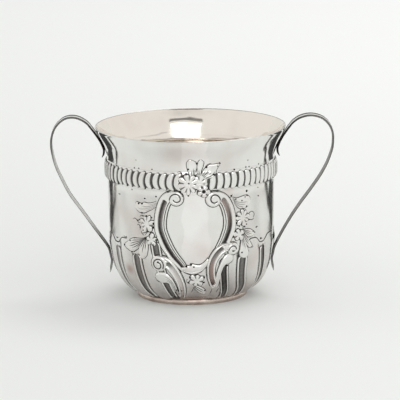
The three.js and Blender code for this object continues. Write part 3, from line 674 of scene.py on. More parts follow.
def leafGrid(leaf):
    veins = leaf["veins"]
    nearVeins = (round(v + d, 3) for v, _ in veins for d in (-0.06, 0, 0.06))
    across = np.array(sorted({*np.linspace(0, 1, 13).round(3), 0.03, 0.97, *nearVeins}))
    share = np.linspace(0, 1, 30)
    edges = []
    for edge in (smoothLine(leaf[key], 0.25) for key in ("over", "under")):
        places = np.linspace(0, 1, len(edge))
        edges.append(np.stack([np.interp(share, places, edge[:, k]) for k in (0, 1)], -1))
    x, y = (edges[0][:, k:k + 1] * (1 - across) + edges[1][:, k:k + 1] * across for k in (0, 1))
    width = np.hypot(*(edges[0] - edges[1]).T)[:, None]
    dome = (1 - np.abs(2 * across - 1) ** 2.6) ** 0.5
    ends = np.sqrt(np.clip((1 - share) / 0.12, 0, 1)) * (0.55 + 0.45 * np.clip(share / 0.3, 0, 1))
    cut = np.zeros(x.shape)
    for at, reach in veins:
        fade = 1 - ease((share[:, None] - reach + 0.3) / 0.3)
        cut = np.maximum(cut, np.clip(1 - np.abs(across - at) * width / 0.42, 0, 1) * fade)
    border = (across == 0) | (across == 1)
    raised = leaf["rise"] * dome * ends[:, None] - 0.3 * cut
    lift = leaf["base"] + groundAt(y) + np.where(border, -0.2, raised)
    stalk = 0.5 * leaf["dark"] * (1 - ease(share / 0.45))[:, None] * np.abs(np.sin(across * 9))
    tarnish = np.maximum(cut * min(1.0, leaf["dark"] * 1.2), stalk)
    tarnish[:, border] = 0.9
    return withFlange(x, y, lift, tarnish, np.zeros_like(x))


def lineGrid(points, width=0.5):
    # one chased line, filled with tarnish and fading at both ends
    line = smoothLine(points, 0.4)
    run = runAlong(line)
    along = heading(line)
    half = width / 2 * np.sqrt(np.clip(np.minimum(run, run[-1] - run) / 1.4, 0.06, 1))[:, None]
    across = np.array([1, 0.6, 0, -0.6, -1])
    x, y = line[:, :1] - along[:, 1:] * across * half, line[:, 1:] + along[:, :1] * across * half
    lift = groundLift(x, y) + np.array([-0.12, 0.1, 0.07, 0.1, -0.12])
    return x, y, lift, np.broadcast_to([0.8, 0.75, 0.97, 0.75, 0.8], x.shape), np.zeros_like(x)


def floretEdge(tips):
    # angle and radius of the outline, and how near each point is to a notch
    angles, reach, notch = [], [], []
    for (a, tip, valley), (b, nextTip, _) in zip(tips, [*tips[1:], (tips[0][0] + 360, *tips[0][1:])]):
        for t in np.linspace(0, 1, 9)[:-1]:
            nearTip = abs(2 * t - 1)
            angles.append(math.radians(a + (b - a) * t))
            reach.append(valley + ((tip if t < 0.5 else nextTip) - valley) * nearTip ** 0.85)
            notch.append(1 - nearTip)
    return (np.array(v) for v in (angles, reach, notch))


def floretRings(floret):
    # rings from the edge inwards: radius, height, tarnish
    angles, reach, notch = floretEdge(floret["tips"])
    middleX, middleY = floret["middle"]
    eye = floret.get("eye", 0.0)
    dark = np.full_like(reach, 0.93)
    rings = [(reach + 0.38, np.full_like(reach, -0.2), dark)]
    for edge in (reach + 0.34, reach):
        ground = groundLift(middleX + edge * np.cos(angles), middleY + edge * np.sin(angles))
        rings.append((edge, 0.06 + ground, dark))
    for ring in (0.96, 0.9, 0.8, 0.68, 0.56, 0.45, 0.36, 0.27, 0.17, 0.07):
        crease = np.clip((notch - 0.5) / 0.45, 0, 1) * ease((ring - 0.3) / 0.3)
        dents = 0.08 * np.sin(3 * angles + 7 * ring) * np.sin(9 * ring + 2 * angles)
        dents *= ease((ring - 0.1) / 0.3)
        dome = floret["rise"] * (0.62 + 0.38 * math.sin(math.pi * ring ** 0.9))
        inEye = ease((eye - ring * reach + 0.15) / 0.3) if eye else 0.0
        lift = floret["base"] + dome - 0.3 * crease + dents - 0.5 * inEye
        rings.append((ring * reach, lift, np.maximum(0.88 * crease, 0.97 * inEye)))
    return angles, rings


def voluteRings(band):
    # a round end with the spiral cut into it
    radius, (eyeX, eyeY) = band["radius"], band["eye"]
    angles = np.linspace(0, 2 * math.pi, 84, endpoint=False)
    rings = []
    inner = np.linspace(radius * 0.95, 0.08, 24)
    for reach in [radius + 0.36, radius + 0.32, radius, radius * 0.985, *inner]:
        spot = Relief(eyeX + reach * np.cos(angles), eyeY + reach * np.sin(angles))
        spot.lift += band["base"] + 1.62 * max(0.0, 1 - (reach / radius) ** 6) ** 0.4
        for width, points in band["cuts"]:
            spot.line(smoothLine(points, 0.3), width, 0.3, 0.97)
        if reach >= radius:
            spot.tarnish[:] = 0.93
            spot.lift[:] = 0.08 + groundLift(spot.x, spot.y) if reach < radius + 0.34 else -0.2
        rings.append((np.full_like(angles, reach), spot.lift, spot.tarnish))
    return angles, rings


def punchRings(radius, ground):
    sizes = ((1.0, -0.12, 0.95), (0.9, 0.06, 0.95), (0.4, 0.04, 0.97), (0.1, 0.03, 0.97))
    rings = []
    for size, lift, dark in sizes:
        rings.append(tuple(np.full(12, v) for v in (radius * size, ground + lift, dark)))
    return np.linspace(0, 2 * math.pi, 12, endpoint=False), rings


def gridOutline(x, y):
    # the border of a grid of points as one closed line
    ring = np.stack([np.concatenate([v[:, 0], v[-1], v[::-1, -1], v[0, ::-1], v[:1, 0]]) for v in (x, y)], -1)
    return ring[np.concatenate([[True], np.hypot(*np.diff(ring, axis=0).T) > 0.05])]


paint = {
    "low": (3, 20, 0.14, 0.4),  # darker and warmer low on the cup: from, over, tarnish, warmth
    "haze": (0.28, 0.07),       # darkening all over the wall below the rope, and how much it varies
    "hazeTop": 66,
    "stain": 1.3,
}


def paintSheet(relief, p):
    # what is raised in the sheet itself, and its colours
    x, y = relief.x, relief.y
    paintFlutes(relief, flutes)
    relief.lift += bulgeAt(y)
    # painted shade and tarnish in the recess behind the rope's lobes
    relief.darken(rope["recess"] * ease((rope["recessHalf"] - np.abs(y - rope["middle"])) / 0.5))
    paintField(relief, marks["shield"], marks["shieldLift"])
    for band in scrolls:  # the ground is flat under a scroll
        paintField(relief, gridOutline(*scrollGrid(band)[:2]), 0.0)
    lowFrom, lowOver, lowDark, lowWarm = p["low"]
    low = 1 - ease((y - lowFrom) / lowOver)
    haze = p["haze"][0] + p["haze"][1] * np.sin(x / 2.3 + 0.8) * np.sin(y / 9 + x / 7)
    haze *= ease((p["hazeTop"] - y) / 5) * (relief.lift != marks["shieldLift"])
    relief.darken(haze + lowDark * low)
    relief.warmth = np.maximum(relief.warmth, lowWarm * low)
    for stainX, stainY, wide, warm in marks["stains"]:
        stain = p["stain"] * warm * np.exp(-((x - stainX) ** 2 + (y - stainY) ** 2) / wide ** 2)
        relief.warmth = np.maximum(relief.warmth, stain)


def smoothed(field, passes):
    for _ in range(passes):
        field = np.pad(field, 1, mode="edge")
        field = (field[:-2] + 2 * field[1:-1] + field[2:]) / 4
        field = (field[:, :-2] + 2 * field[:, 1:-1] + field[:, 2:]) / 4
    return field


def keepTarnish(lift, tarnish, passes):
    # low places and the ground round each cut keep some tarnish, and high places lose it; the darkening of
    # low places is painted shade as well
    hollow = np.clip((smoothed(lift, passes) - lift) / 0.6, 0, 1)
    halo = smoothed(tarnish, passes // 2)
    return np.clip(np.maximum(tarnish, 0.85 * hollow + 0.26 * halo), 0, 1)


def unevenness(x, y):
    # slow waves of a wall that was raised with a hammer, the same all the way round
    a = x / sheet["bellyRadius"]
    waves = ((9, 0.21, 0.0, 1.0), (14, -0.13, 1.3, 0.8), (23, 0.34, 0.4, 0.6), (31, -0.41, 2.2, 0.5))
    total = sum(high * np.sin(n * a + slope * y + start) for n, slope, start, high in waves)
    return sheet["unevenness"] * total


def wallWaves(x, y):
    return unevenness(x, y) * ease(y / 6) * ease((wallLength - y) / 5)


shell = {
    "frontHalf": 35.4,     # finest columns, either side of the front
    "sideHalf": 57.5,
    "frontStep": 0.45,
    "sideStep": 0.6,
    "rowStep": 0.45,
    "fineTop": 81.0,
    # columns across a flute at the back
    "fluteColumns": (-3.4, -2.9, -1.2, 1.2, 2.9, 3.4, 4.0, 5.0, 6.4, 8.0, 9.6, 11.0, 12.0),
    "liningStep": 1.6,
    "liningRows": 30,
    # rings of the rim and of the lip as inset, drop and tarnish, and of the floor as radius, rise and step
    "rim": ((0.0, 0.35, 0.1), (0.12, 0.1, 0.3), (0.4, 0.0, 0.45)),
    "lip": ((-0.25, 0.02, 0.5), (-0.04, 0.2, 0.5)),
    "floor": ((24.5, 0.1, 2.5), (16.0, 0.45, 4.0), (8.0, 0.72, 8.0)),
    "underside": ((26.3, 0.0, 2.5), (18.0, 0.35, 4.0), (9.0, 0.66, 8.0)),
}


def columnsOf(s):
    # columns round the girth: fine at the front, and set to the flutes at the back
    front = np.arange(-s["frontHalf"], s["frontHalf"] + 1e-6, s["frontStep"])
    side = np.arange(front[-1] + s["sideStep"], s["sideHalf"], s["sideStep"])
    starts = [flutes["shift"] + i * girth / flutes["count"] for i in range(3, 15)]
    back = [start + offset for start in starts for offset in s["fluteColumns"]]
    back = [x for x in back if side[-1] + 0.4 < x < girth - side[-1] - 0.4]
    return np.concatenate([-side[::-1], front, side]), np.array(back)


def rowsOf(s):
    # all rows up the wall, and which of them run on round the back
    upper = np.linspace(s["fineTop"], wallLength - 0.5, 13)
    rows = np.concatenate([np.arange(0.0, s["fineTop"], s["rowStep"]), upper])
    coarse = [*np.arange(0, 39, 0.74), *np.arange(40, 65, 4.2), *np.arange(65.2, 76.4, 0.74)]
    coarse += [78.5, 81, *upper]
    return rows, sorted({int(np.argmin(np.abs(rows - y))) for y in coarse})


def zipRings(faces, low, high):
    # faces between two closed rings of (run, vertex) pairs that may have different counts
    i = j = 0
    while i < len(low) or j < len(high):
        lowRun, lowNext = low[(i + 1) % len(low)]
        highRun, highNext = high[(j + 1) % len(high)]
        lowRun += girth if i + 1 >= len(low) else 0
        highRun += girth if j + 1 >= len(high) else 0
        a, b = low[i % len(low)][1], high[j % len(high)][1]
        if i < len(low) and j < len(high) and abs(lowRun - highRun) < 1e-6:
            faces.append((a, lowNext, highNext, b))
            i, j = i + 1, j + 1
        elif j >= len(high) or (i < len(low) and lowRun <= highRun):
            faces.append((a, lowNext, b))
            i += 1
        else:
            faces.append((a, highNext, b))
            j += 1


def gridFaces(start, rows, columns, back=False):
    # faces over rows of points that follow one another from start on
    corners = (0, columns, columns + 1, 1) if back else (0, 1, columns + 1, columns)
    spots = [start + j * columns + i for j in range(rows - 1) for i in range(columns - 1)]
    return [tuple(spot + c for c in corners) for spot in spots]


def tubeFaces(rings, count, closed=False):
    # faces between rings of count points
    faces = []
    for i in range(rings if closed else rings - 1):
        step = ((i + 1) % rings - i) * count
        for j in range(count):
            a, b = i * count + j, i * count + (j + 1) % count
            faces.append((a, b, b + step, a + step))
    return faces


def meshObject(name, points, faces, fields=None):
    mesh = bpy.data.meshes.new(name)
    mesh.from_pydata([tuple(p) for p in points], [], faces)
    mesh.validate()
    mesh.update()
    for key, values in (fields or {}).items():
        layer = mesh.attributes.new(key, "FLOAT", "POINT")
        layer.data.foreach_set("value", np.asarray(values, np.float32))
    mesh.shade_smooth()
    made = bpy.data.objects.new(name, mesh)
    bpy.context.scene.collection.objects.link(made)
    return made


def circle(runs, radius, height):
    angle = np.asarray(runs) / sheet["bellyRadius"]
    heights = np.full(len(angle), float(height))
    return np.stack([radius * np.sin(angle), -radius * np.cos(angle), heights], -1) * mm


def buildCup(s):
    frontColumns, back = columnsOf(s)
    columns = np.concatenate([frontColumns, back])
    frontCount, count = len(frontColumns), len(columns)
    rows, backRows = rowsOf(s)
    gridX, gridY = np.meshgrid(columns, rows)
    present = np.ones(gridX.shape, bool)
    present[np.setdiff1d(np.arange(len(rows)), backRows), frontCount:] = False
    shear = flutes["slant"] * (flutes["archTop"] / 2 - gridY) * (1 - ease((gridY - 38) / 20))
    gridX = gridX + shear * ease((np.abs(wrap(gridX)) - 50) / 12)
    x, y = gridX[present], gridY[present]
    relief = Relief(wrap(x), y + sheet["drop"])
    paintSheet(relief, paint)
    front, behind = np.ix_(range(len(rows)), range(frontCount)), np.ix_(backRows, range(frontCount, count))
    for part, passes in ((front, 14), (behind, 3)):
        lift, tarnish = (np.zeros(gridX.shape) for _ in range(2))
        lift[present], tarnish[present] = relief.lift, relief.tarnish
        tarnish[part] = keepTarnish(lift[part], tarnish[part], passes)
        relief.tarnish = tarnish[present]
    points = list(onSheet(x, y, relief.lift + wallWaves(relief.x, relief.y)))
    fields = {"tarnish": list(relief.tarnish), "warmth": list(relief.warmth), "lining": [0.0] * len(points)}
    number = np.full(gridX.shape, -1)
    number[present] = np.arange(len(points))
    faces = []
    for low, high in zip(number[:-1], number[1:]):  # the fine front
        faces += [(low[i], low[i + 1], high[i + 1], high[i]) for i in range(frontCount - 1)]
    for low, high in zip(backRows[:-1], backRows[1:]):  # the back, with its edges fitted to the front's rows
        for i in range(frontCount - 1, count):
            n = (i + 1) % count
            corner = [number[low, i], number[low, n], number[high, n], number[high, i]]
            if n == 0:
                corner = [corner[0], *number[low:high + 1, 0], corner[3]]
            if i == frontCount - 1:
                corner = [*corner, *number[low + 1:high, i][::-1]]
            faces.append(tuple(int(c) for c in corner))

    def join(last, runs, place, dark, lining=1.0, under=False):
        # one more ring, joined to the last
        start = len(points)
        points.extend(place)
        for key, value in (("tarnish", dark), ("warmth", 0.0), ("lining", lining)):
            fields[key].extend(np.broadcast_to(value, len(runs)))
        ring = [(run, start + k) for k, run in enumerate(runs)]
        zipRings(faces, *((ring, last) if under else (last, ring)))
        return ring

    def wallEdge(row):
        return [(columns[i], int(number[row, i])) for i in range(count)]

    def runsAt(step, short):
        return np.arange(columns[0], columns[0] + girth - short, step)

    rimRadius, rimHeight = sheet["rimRadius"], sheet["rimHeight"]
    last = wallEdge(-1)
    for inset, drop, dark in s["rim"]:
        last = join(last, columns, circle(columns, rimRadius - inset, rimHeight - drop), dark, 0.0)
    runs = runsAt(s["liningStep"], 0.6)
    for inset, drop, dark in s["lip"]:
        last = join(last, runs, circle(runs, rimRadius - sheet["lipWidth"] - inset, rimHeight - drop), dark)
    at = wrap(runs)
    flare = smoothLine(sheet["liningFlare"], 0.2)
    for height in np.arange(89.6, 73.5, -0.8):
        seamAt = 77.6 + 0.9 * np.sin(at / 11 + 0.6) + 0.5 * np.sin(at / 4.3)
        seam = (0.34 + 0.12 * np.sin(at / 7)) * ease(1.2 - np.abs(height - seamAt) / 0.7)
        seam += 0.1 * ease((seamAt - height) / 1.2)
        reach = np.interp(-height, -flare[:, 1], flare[:, 0])
        reach = reach + unevenness(at, height + 2.4) * ease((90 - height) / 5)
        last = join(last, runs, circle(runs, reach, height), seam)
    for up in np.linspace(74.2, 1.0, s["liningRows"]):
        follow = Relief(at, np.full(len(at), up))
        paintFlutes(follow, flutes)
        outwards = np.maximum(follow.lift, 0) * ease((np.abs(at) - 38) / 10)
        bowed = 0.85 * (np.minimum(follow.lift, 0) + outwards)
        bowed += bulgeAt(up) + wallWaves(at, up) - sheet["wall"]
        last = join(last, runs, onSheet(runs, up, bowed), 0.06)
    for radius, rise, step in s["floor"]:
        runs = runsAt(step, step / 2)
        last = join(last, runs, circle(runs, radius, sheet["footHeight"] + sheet["wall"] + rise), 0.05)
    faces.append(tuple(v for _, v in last))
    last = wallEdge(0)
    for radius, rise, step in s["underside"]:  # inside the ring foot
        runs = runsAt(step, step / 2)
        last = join(last, runs, circle(runs, radius, sheet["footHeight"] + rise), 0.35, 0.0, under=True)
    faces.append(tuple(v for _, v in last[::-1]))
    return meshObject("cup_sheet", points, faces, fields)


cup = buildCup(shell)
print("cup sheet:", len(cup.data.vertices), "points")


def addSockets(tree, sockets, output=False):
    # named sockets of a node group with the values they start from
    made = {}
    for name, (kind, *value) in sockets.items():
        way = "OUTPUT" if output else "INPUT"
        socket = tree.interface.new_socket(name, in_out=way, socket_type="NodeSocket" + kind)
        if value:
            socket.default_value = value[0]
        made[name] = socket.identifier
    return made


def setInputs(tree, node, inputs):
    # an input takes a value, or a link from another node
    for key, value in inputs.items():
        if isinstance(value, bpy.types.NodeSocket):
            tree.links.new(value, node.inputs[key])
        else:
            node.inputs[key].default_value = value


def addNode(tree, kind, inputs=None, **settings):
    node = tree.nodes.new(kind)
    for key, value in settings.items():
        setattr(node, key, value)
    setInputs(tree, node, inputs or {})
    return node


def calculate(tree, operation, *values, clamp=False):
    node = addNode(tree, "ShaderNodeMath", dict(enumerate(values)), operation=operation, use_clamp=clamp)
    return node.outputs[0]


def mixColours(tree, share, a, b):
    return addNode(tree, "ShaderNodeMix", {0: share, 6: a, 7: b}, data_type="RGBA").outputs[2]


def mapRange(tree, value, ends, to=(0.0, 1.0), smooth=True):
    kind = "SMOOTHSTEP" if smooth else "LINEAR"
    inputs = {"Value": value, "From Min": ends[0], "From Max": ends[1], "To Min": to[0], "To Max": to[1]}
    return addNode(tree, "ShaderNodeMapRange", inputs, interpolation_type=kind).outputs[0]


def separate(tree, place):
    return addNode(tree, "ShaderNodeSeparateXYZ", {0: place}).outputs


def newMaterial(name, inputs):
    material = bpy.data.materials.new(name)
    material.use_nodes = True
    setInputs(material.node_tree, material.node_tree.nodes["Principled BSDF"], inputs)
    return material


aged = {
    "clouds": (0.45, 0.7),       # where in their noise the clouds begin and are full
    "dark": (0.12, 0.95),        # the same for the dark colour in the tarnish and the painted shade
    "ragged": 0.2,               # how far the grain frays an edge of tarnish
    "grain": 900,
    "dents": 150,
    "scratchSize": (300, 300, 4000),
    "scratchTurn": (0.3, 0.2, 0.1),
    "cloudRoughness": 0.04,
    "tarnishRoughness": 0.32,
    "scratchRoughness": 0.03,
    "scratchDepth": 0.06,
}


def buildAgedSilver(s):
    # polished silver that keeps dark tarnish where the cloth doesn't reach, and takes the same dark colour
    # where shade is painted
    tree = bpy.data.node_groups.new("agedSilver", "ShaderNodeTree")
    addSockets(tree, {
        "Place": ("Vector",),
        "Tarnish": ("Float", 0.0),
        "Warmth": ("Float", 0.0),
        "Lining": ("Float", 0.0),
        "Polished": ("Color", (0.855, 0.853, 0.826, 1)),
        "Clouded": ("Color", (0.78, 0.745, 0.71, 1)),
        "Warm": ("Color", (0.55, 0.42, 0.38, 1)),
        "Lining Colour": ("Color", (0.87, 0.815, 0.745, 1)),
        "Lining Clouded": ("Color", (0.83, 0.76, 0.69, 1)),
        "Dark": ("Color", (0.03, 0.026, 0.024, 1)),
        "Cloud Size": ("Float", 0.02),
        "Polish": ("Float", 0.12),
    })
    addSockets(tree, {"Colour": ("Color",), "Roughness": ("Float",), "Height": ("Float",)}, output=True)
    given = addNode(tree, "NodeGroupInput").outputs

    def noise(place, scale, detail):
        node = addNode(tree, "ShaderNodeTexNoise", {"Vector": place, "Scale": scale, "Detail": detail})
        return node.outputs[0]

    def addShare(start, amount, share, clamp=False):
        return calculate(tree, "ADD", start, calculate(tree, "MULTIPLY", amount, share), clamp=clamp)

    clouds = noise(given["Place"], calculate(tree, "DIVIDE", 1.0, given["Cloud Size"]), 5)
    grain = noise(given["Place"], s["grain"], 3)
    dents = noise(given["Place"], s["dents"], 2)
    stretch = {"Scale": s["scratchSize"], "Rotation": s["scratchTurn"], "Vector": given["Place"]}
    scratches = noise(addNode(tree, "ShaderNodeMapping", stretch).outputs[0], 1.0, 4)
    frayed = calculate(tree, "MULTIPLY", calculate(tree, "SUBTRACT", grain, 0.5), s["ragged"])
    tarnish = addShare(given["Tarnish"], frayed, given["Tarnish"], clamp=True)
    cloudShare = mapRange(tree, clouds, s["clouds"], smooth=False)
    clean = mixColours(tree, cloudShare, given["Polished"], given["Clouded"])
    lining = mixColours(tree, cloudShare, given["Lining Colour"], given["Lining Clouded"])
    outside = mixColours(tree, given["Warmth"], clean, given["Warm"])
    colour = mixColours(tree, given["Lining"], outside, lining)
    rough = addShare(given["Polish"], clouds, s["cloudRoughness"])
    rough = addShare(rough, tarnish, s["tarnishRoughness"])
    addNode(tree, "NodeGroupOutput", {
        "Colour": mixColours(tree, mapRange(tree, tarnish, s["dark"]), colour, given["Dark"]),
        "Roughness": addShare(rough, scratches, s["scratchRoughness"]),
        "Height": addShare(dents, scratches, s["scratchDepth"]),
    })
    return tree


agedSilver = buildAgedSilver(aged)


def silverMaterial(name, layers, values, strength, distance):
    material = newMaterial(name, {"Metallic": 1.0})
    tree = material.node_tree
    group = addNode(tree, "ShaderNodeGroup", node_tree=agedSilver)
    painted = {}
    for key in layers:
        painted[key] = addNode(tree, "ShaderNodeAttribute", attribute_name=key.lower()).outputs["Fac"]
    place = addNode(tree, "ShaderNodeTexCoord").outputs["Object"]
    setInputs(tree, group, {"Place": place, **painted, **values})
    dented = {"Strength": strength, "Distance": distance, "Height": group.outputs["Height"]}
    setInputs(tree, tree.nodes["Principled BSDF"], {
        "Normal": addNode(tree, "ShaderNodeBump", dented).outputs["Normal"],
        "Roughness": group.outputs["Roughness"],
        "Base Color": group.outputs["Colour"],
    })
    return material


chasedValues = {"Cloud Size": 0.02, "Polish": 0.05}
strapValues = {"Cloud Size": 0.012, "Polish": 0.14}
footValues = {
    "Cloud Size": 0.008, "Polish": 0.24, "Polished": (0.6, 0.51, 0.45, 1), "Clouded": (0.38, 0.3, 0.26, 1),
}
chasedSilver = silverMaterial("chasedSilver", ("Tarnish", "Warmth", "Lining"), chasedValues, 0.25, 0.0002)
strapSilver = silverMaterial("strapSilver", ("Tarnish",), strapValues, 0.2, 0.0001)
footSilver = silverMaterial("footSilver", ("Tarnish",), footValues, 0.3, 0.0002)


def finishPiece(piece, material, slot, *nodes):
    piece.data.materials.clear()
    piece.data.materials.append(material)
    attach(piece, "root")
    if nodes:
        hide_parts(*nodes)


finishPiece(cup, chasedSilver, "chased_silver", "cup_body")


def lobeMesh(r, side):
    # one upright lobe of the rope, bent, with a hooked lower end; its back is sunk in the sheet
    across, along = r["lobeGrid"]
    points, tarnish = [], []
    for j in range(along + 1):
        v = math.sin(math.pi * (j / along - 0.5))  # rows close up towards both ends
        taper = (1 - abs(v) ** 5) ** 0.5
        z = v * r["lobeHalfHeight"]
        shift = r["lean"] * z + r["bend"][side] * (v * v - 0.3) + r["hook"][side] * max(0.0, -v) ** 4
        for i in range(across + 1):
            u = math.sin(math.pi * (i / across - 0.5))
            rise = r["lobeRise"] * (1 - abs(u) ** 2.1) ** 0.5 * taper
            points.append(((shift + r["lobeHalfWidth"] * taper * u) * mm, (r["sunk"] - rise) * mm, z * mm))
            edge = ease((abs(u) - 0.74) / 0.18) + ease((abs(v) - 0.9) / 0.08)
            # painted shade: each lobe is darker towards its right side
            edge = edge + 0.36 * ease((u - 0.1) / 0.6)
            tarnish.append(0.97 * min(1.0, float(edge)))
    ring, back = across + 1, len(points)
    faces = gridFaces(0, along + 1, ring) + gridFaces(back, along + 1, ring, back=True)
    points += [(x, r["backDepth"] * mm, z) for x, _, z in points]
    tarnish += [1.0] * back
    edge = [*range(ring), *range(2 * ring - 1, back, ring), *range(back - 2, back - ring - 1, -1),
            *range(back - 2 * ring, 0, -ring)]
    faces += [(b, a, a + back, b + back) for a, b in zip(edge, edge[1:] + edge[:1])]
    made = meshObject("ropeLobe", points, faces, {"tarnish": tarnish})
    made.modifiers.new("weld", "WELD").merge_threshold = 1e-6
    return made


def buildRopeNodes(lobes, material):
    # an upright lobe on every point, one form left of the front and one right of it
    tree = bpy.data.node_groups.new("ropeBand", "GeometryNodeTree")
    names = addSockets(tree, {
        "Geometry": ("Geometry",), "Size Spread": ("Float", 0.05), "Turn Spread": ("Float", 0.03),
        "Seed": ("Int", 7),
    })
    addSockets(tree, {"Geometry": ("Geometry",)}, output=True)
    given = addNode(tree, "NodeGroupInput").outputs

    def randomBetween(low, high):
        inputs = {"Seed": given["Seed"], "Max": high, "Min": low}
        return addNode(tree, "FunctionNodeRandomValue", inputs, data_type="FLOAT").outputs[1]

    where = separate(tree, addNode(tree, "GeometryNodeInputPosition").outputs[0])
    facing = calculate(tree, "ARCTAN2", where["X"], calculate(tree, "MULTIPLY", where["Y"], -1.0))
    lean = randomBetween(calculate(tree, "MULTIPLY", given["Turn Spread"], -1.0), given["Turn Spread"])
    size = randomBetween(*(calculate(tree, way, 1.0, given["Size Spread"]) for way in ("SUBTRACT", "ADD")))
    turn = addNode(tree, "ShaderNodeCombineXYZ", {"Y": lean, "Z": facing})
    scale = addNode(tree, "ShaderNodeCombineXYZ", {"X": size, "Y": 1.0, "Z": size})
    both = addNode(tree, "GeometryNodeJoinGeometry")
    for lobe, side in zip(lobes, ("LESS_THAN", "GREATER_THAN")):
        info = addNode(tree, "GeometryNodeObjectInfo", {"Object": lobe, "As Instance": True})
        instances = addNode(tree, "GeometryNodeInstanceOnPoints", {
            "Points": given["Geometry"],
            "Selection": calculate(tree, side, where["X"], 0.0),
            "Instance": info.outputs["Geometry"],
            "Rotation": turn.outputs[0],
            "Scale": scale.outputs[0],
        })
        tree.links.new(instances.outputs[0], both.inputs[0])
    real = addNode(tree, "GeometryNodeRealizeInstances", {0: both.outputs[0]})
    paint = addNode(tree, "GeometryNodeSetMaterial", {"Material": material, "Geometry": real.outputs[0]})
    addNode(tree, "NodeGroupOutput", {"Geometry": paint.outputs[0]})
    return tree, names


def buildRope(r):
    spots = []
    for start, way in ((r["leftStart"], -1), (r["rightStart"], 1)):
        angle = start + way * r["pitch"] / 2
        while abs(angle) < 180 - r["pitch"] * 0.1:
            spots.append(angle)
            angle += way * r["pitch"]
    spots += [r["leftStart"] + r["pitch"] / 2, r["rightStart"] - r["pitch"] / 2]
    random.seed(r["seed"])
    runs = [math.radians(a + random.uniform(-r["jitter"], r["jitter"])) * sheet["bellyRadius"] for a in spots]
    places = onSheet(np.array(runs), r["middle"] - sheet["drop"], r["bulge"] - 0.14)
    base = meshObject("ropePoints", places, [])
    lobes = [lobeMesh(r, side) for side in (0, 1)]
    modifier = base.modifiers.new("rope", "NODES")
    modifier.node_group, names = buildRopeNodes(lobes, chasedSilver)
    for name, value in r["spread"].items():
        modifier[names[name]] = value
    evaluated = base.evaluated_get(bpy.context.evaluated_depsgraph_get())
    made = bpy.data.objects.new("rope_band", bpy.data.meshes.new_from_object(evaluated))
    bpy.context.scene.collection.objects.link(made)
    for spare in (base, *lobes):
        bpy.data.objects.remove(spare, do_unlink=True)
    made.data.shade_smooth()
    return made


ropeBand = buildRope(rope)
finishPiece(ropeBand, chasedSilver, "chased_silver")
print("rope band:", len(ropeBand.data.polygons), "faces")


class Shells:
    # closed forms laid on the sheet and sunk a little into it, gathered into one mesh

    def __init__(self):
        self.points, self.faces, self.heights = [], [], []
        self.fields = {"tarnish": [], "warmth": []}

    def add(self, x, y, lift, tarnish, warmth=0.0):
        start = len(self.points)
        self.points.extend(onSheet(x, y - sheet["drop"], lift + wallWaves(x, y)).reshape(-1, 3))
        self.heights.append(np.stack([np.ravel(v) for v in np.broadcast_arrays(x, y, lift)], -1))
        for key, value in (("tarnish", tarnish), ("warmth", warmth)):
            self.fields[key].extend(np.broadcast_to(value, np.shape(x)).ravel())
        return start

    def over(self, x, y):
        # height of whatever is already there
        known = np.vstack(self.heights)
        near = known[np.hypot(known[:, 0] - x, known[:, 1] - y) < 0.5]
        return float(max(groundLift([x], [y])[0], near[:, 2].max() if len(near) else 0))

    def grid(self, x, y, lift, tarnish, warmth, sink=-0.55):
        # rows of points, closed by an underside of two strips
        rows, columns = x.shape
        middle, last = columns // 2, columns - 1
        kept = [0, middle, last]
        top = self.add(x, y, lift, tarnish, warmth)
        under = self.add(x[:, kept], y[:, kept], np.full((rows, 3), sink), 1.0)
        made = gridFaces(top, rows, columns) + gridFaces(under, rows, 3, back=True)
        for j in range(rows - 1):
            a, b = top + j * columns, under + j * 3
            made += [(a, a + columns, b + 3, b), (a + last + columns, a + last, b + 2, b + 5)]
        a, b = top + (rows - 1) * columns, under + (rows - 1) * 3
        for i, (start, end) in enumerate(((0, middle), (middle, last))):
            made.append((*range(top + end, top + start - 1, -1), under + i, under + i + 1))
            made.append((*range(a + start, a + end + 1), b + i + 1, b + i))
        onX, onY = (v[1:, 1:] - v[:-1, :-1] for v in (x, y))
        backX, backY = (v[1:, :-1] - v[:-1, 1:] for v in (x, y))
        self.faces.extend(made if (onX * backY - onY * backX).sum() > 0 else [face[::-1] for face in made])

    def rings(self, angles, rings, middle, sink=-0.55):
        # rings run from the edge inwards as radius, height, tarnish
        starts = []
        for radius, lift, tarnish in [*rings, (rings[0][0], sink, 1.0)]:
            x, y = middle[0] + radius * np.cos(angles), middle[1] + radius * np.sin(angles)
            starts.append(self.add(x, y, lift, tarnish))
        under, count = starts.pop(), len(angles)
        for low, high in zip([under, *starts], starts):
            for i in range(count):
                after = (i + 1) % count
                self.faces.append((low + i, low + after, high + after, high + i))
        self.faces.append(tuple(range(starts[-1], starts[-1] + count)))
        self.faces.append(tuple(range(under + count - 1, under - 1, -1)))


def buildOrnament():
    made = Shells()
    for groove in grooves:
        made.grid(*scrollGrid(grooveBand(*groove)))
    arch = np.arange(*flutes["archLine"])
    made.grid(*lineGrid(np.stack([arch, archAt(arch, flutes)], -1), 0.75), sink=-0.3)
    for line in marks["lines"]:
        made.grid(*lineGrid(line), sink=-0.3)
    for band in scrolls:
        made.grid(*scrollGrid(band))
        made.rings(*voluteRings(band), band["eye"])
    for leaf in leaves.values():
        made.grid(*leafGrid(leaf))
    for floret in florets.values():
        made.rings(*floretRings(floret), floret["middle"])
    for x, y, radius in marks["dots"]:
        made.rings(*punchRings(radius, made.over(x, y)), (x, y), sink=-0.3)
    return meshObject("cartouche_work", made.points, made.faces, made.fields)


ornament = buildOrnament()
finishPiece(ornament, chasedSilver, "chased_silver")
print("cartouche:", len(ornament.data.polygons), "faces")


foot = {
    "radius": 28.9,
    "count": 220,
    # inset from the outer face, and height
    "section": [
        (2.4, 0.12), (2.2, 0), (1.1, 0), (0.5, 0.03), (0.16, 0.22), (0.02, 0.6), (0, 1.2), (0.06, 1.9),
        (0.3, 2.5), (0.62, 2.95), (0.8, 3.2), (2.4, 3.2), (2.4, 1.6),
    ],
}


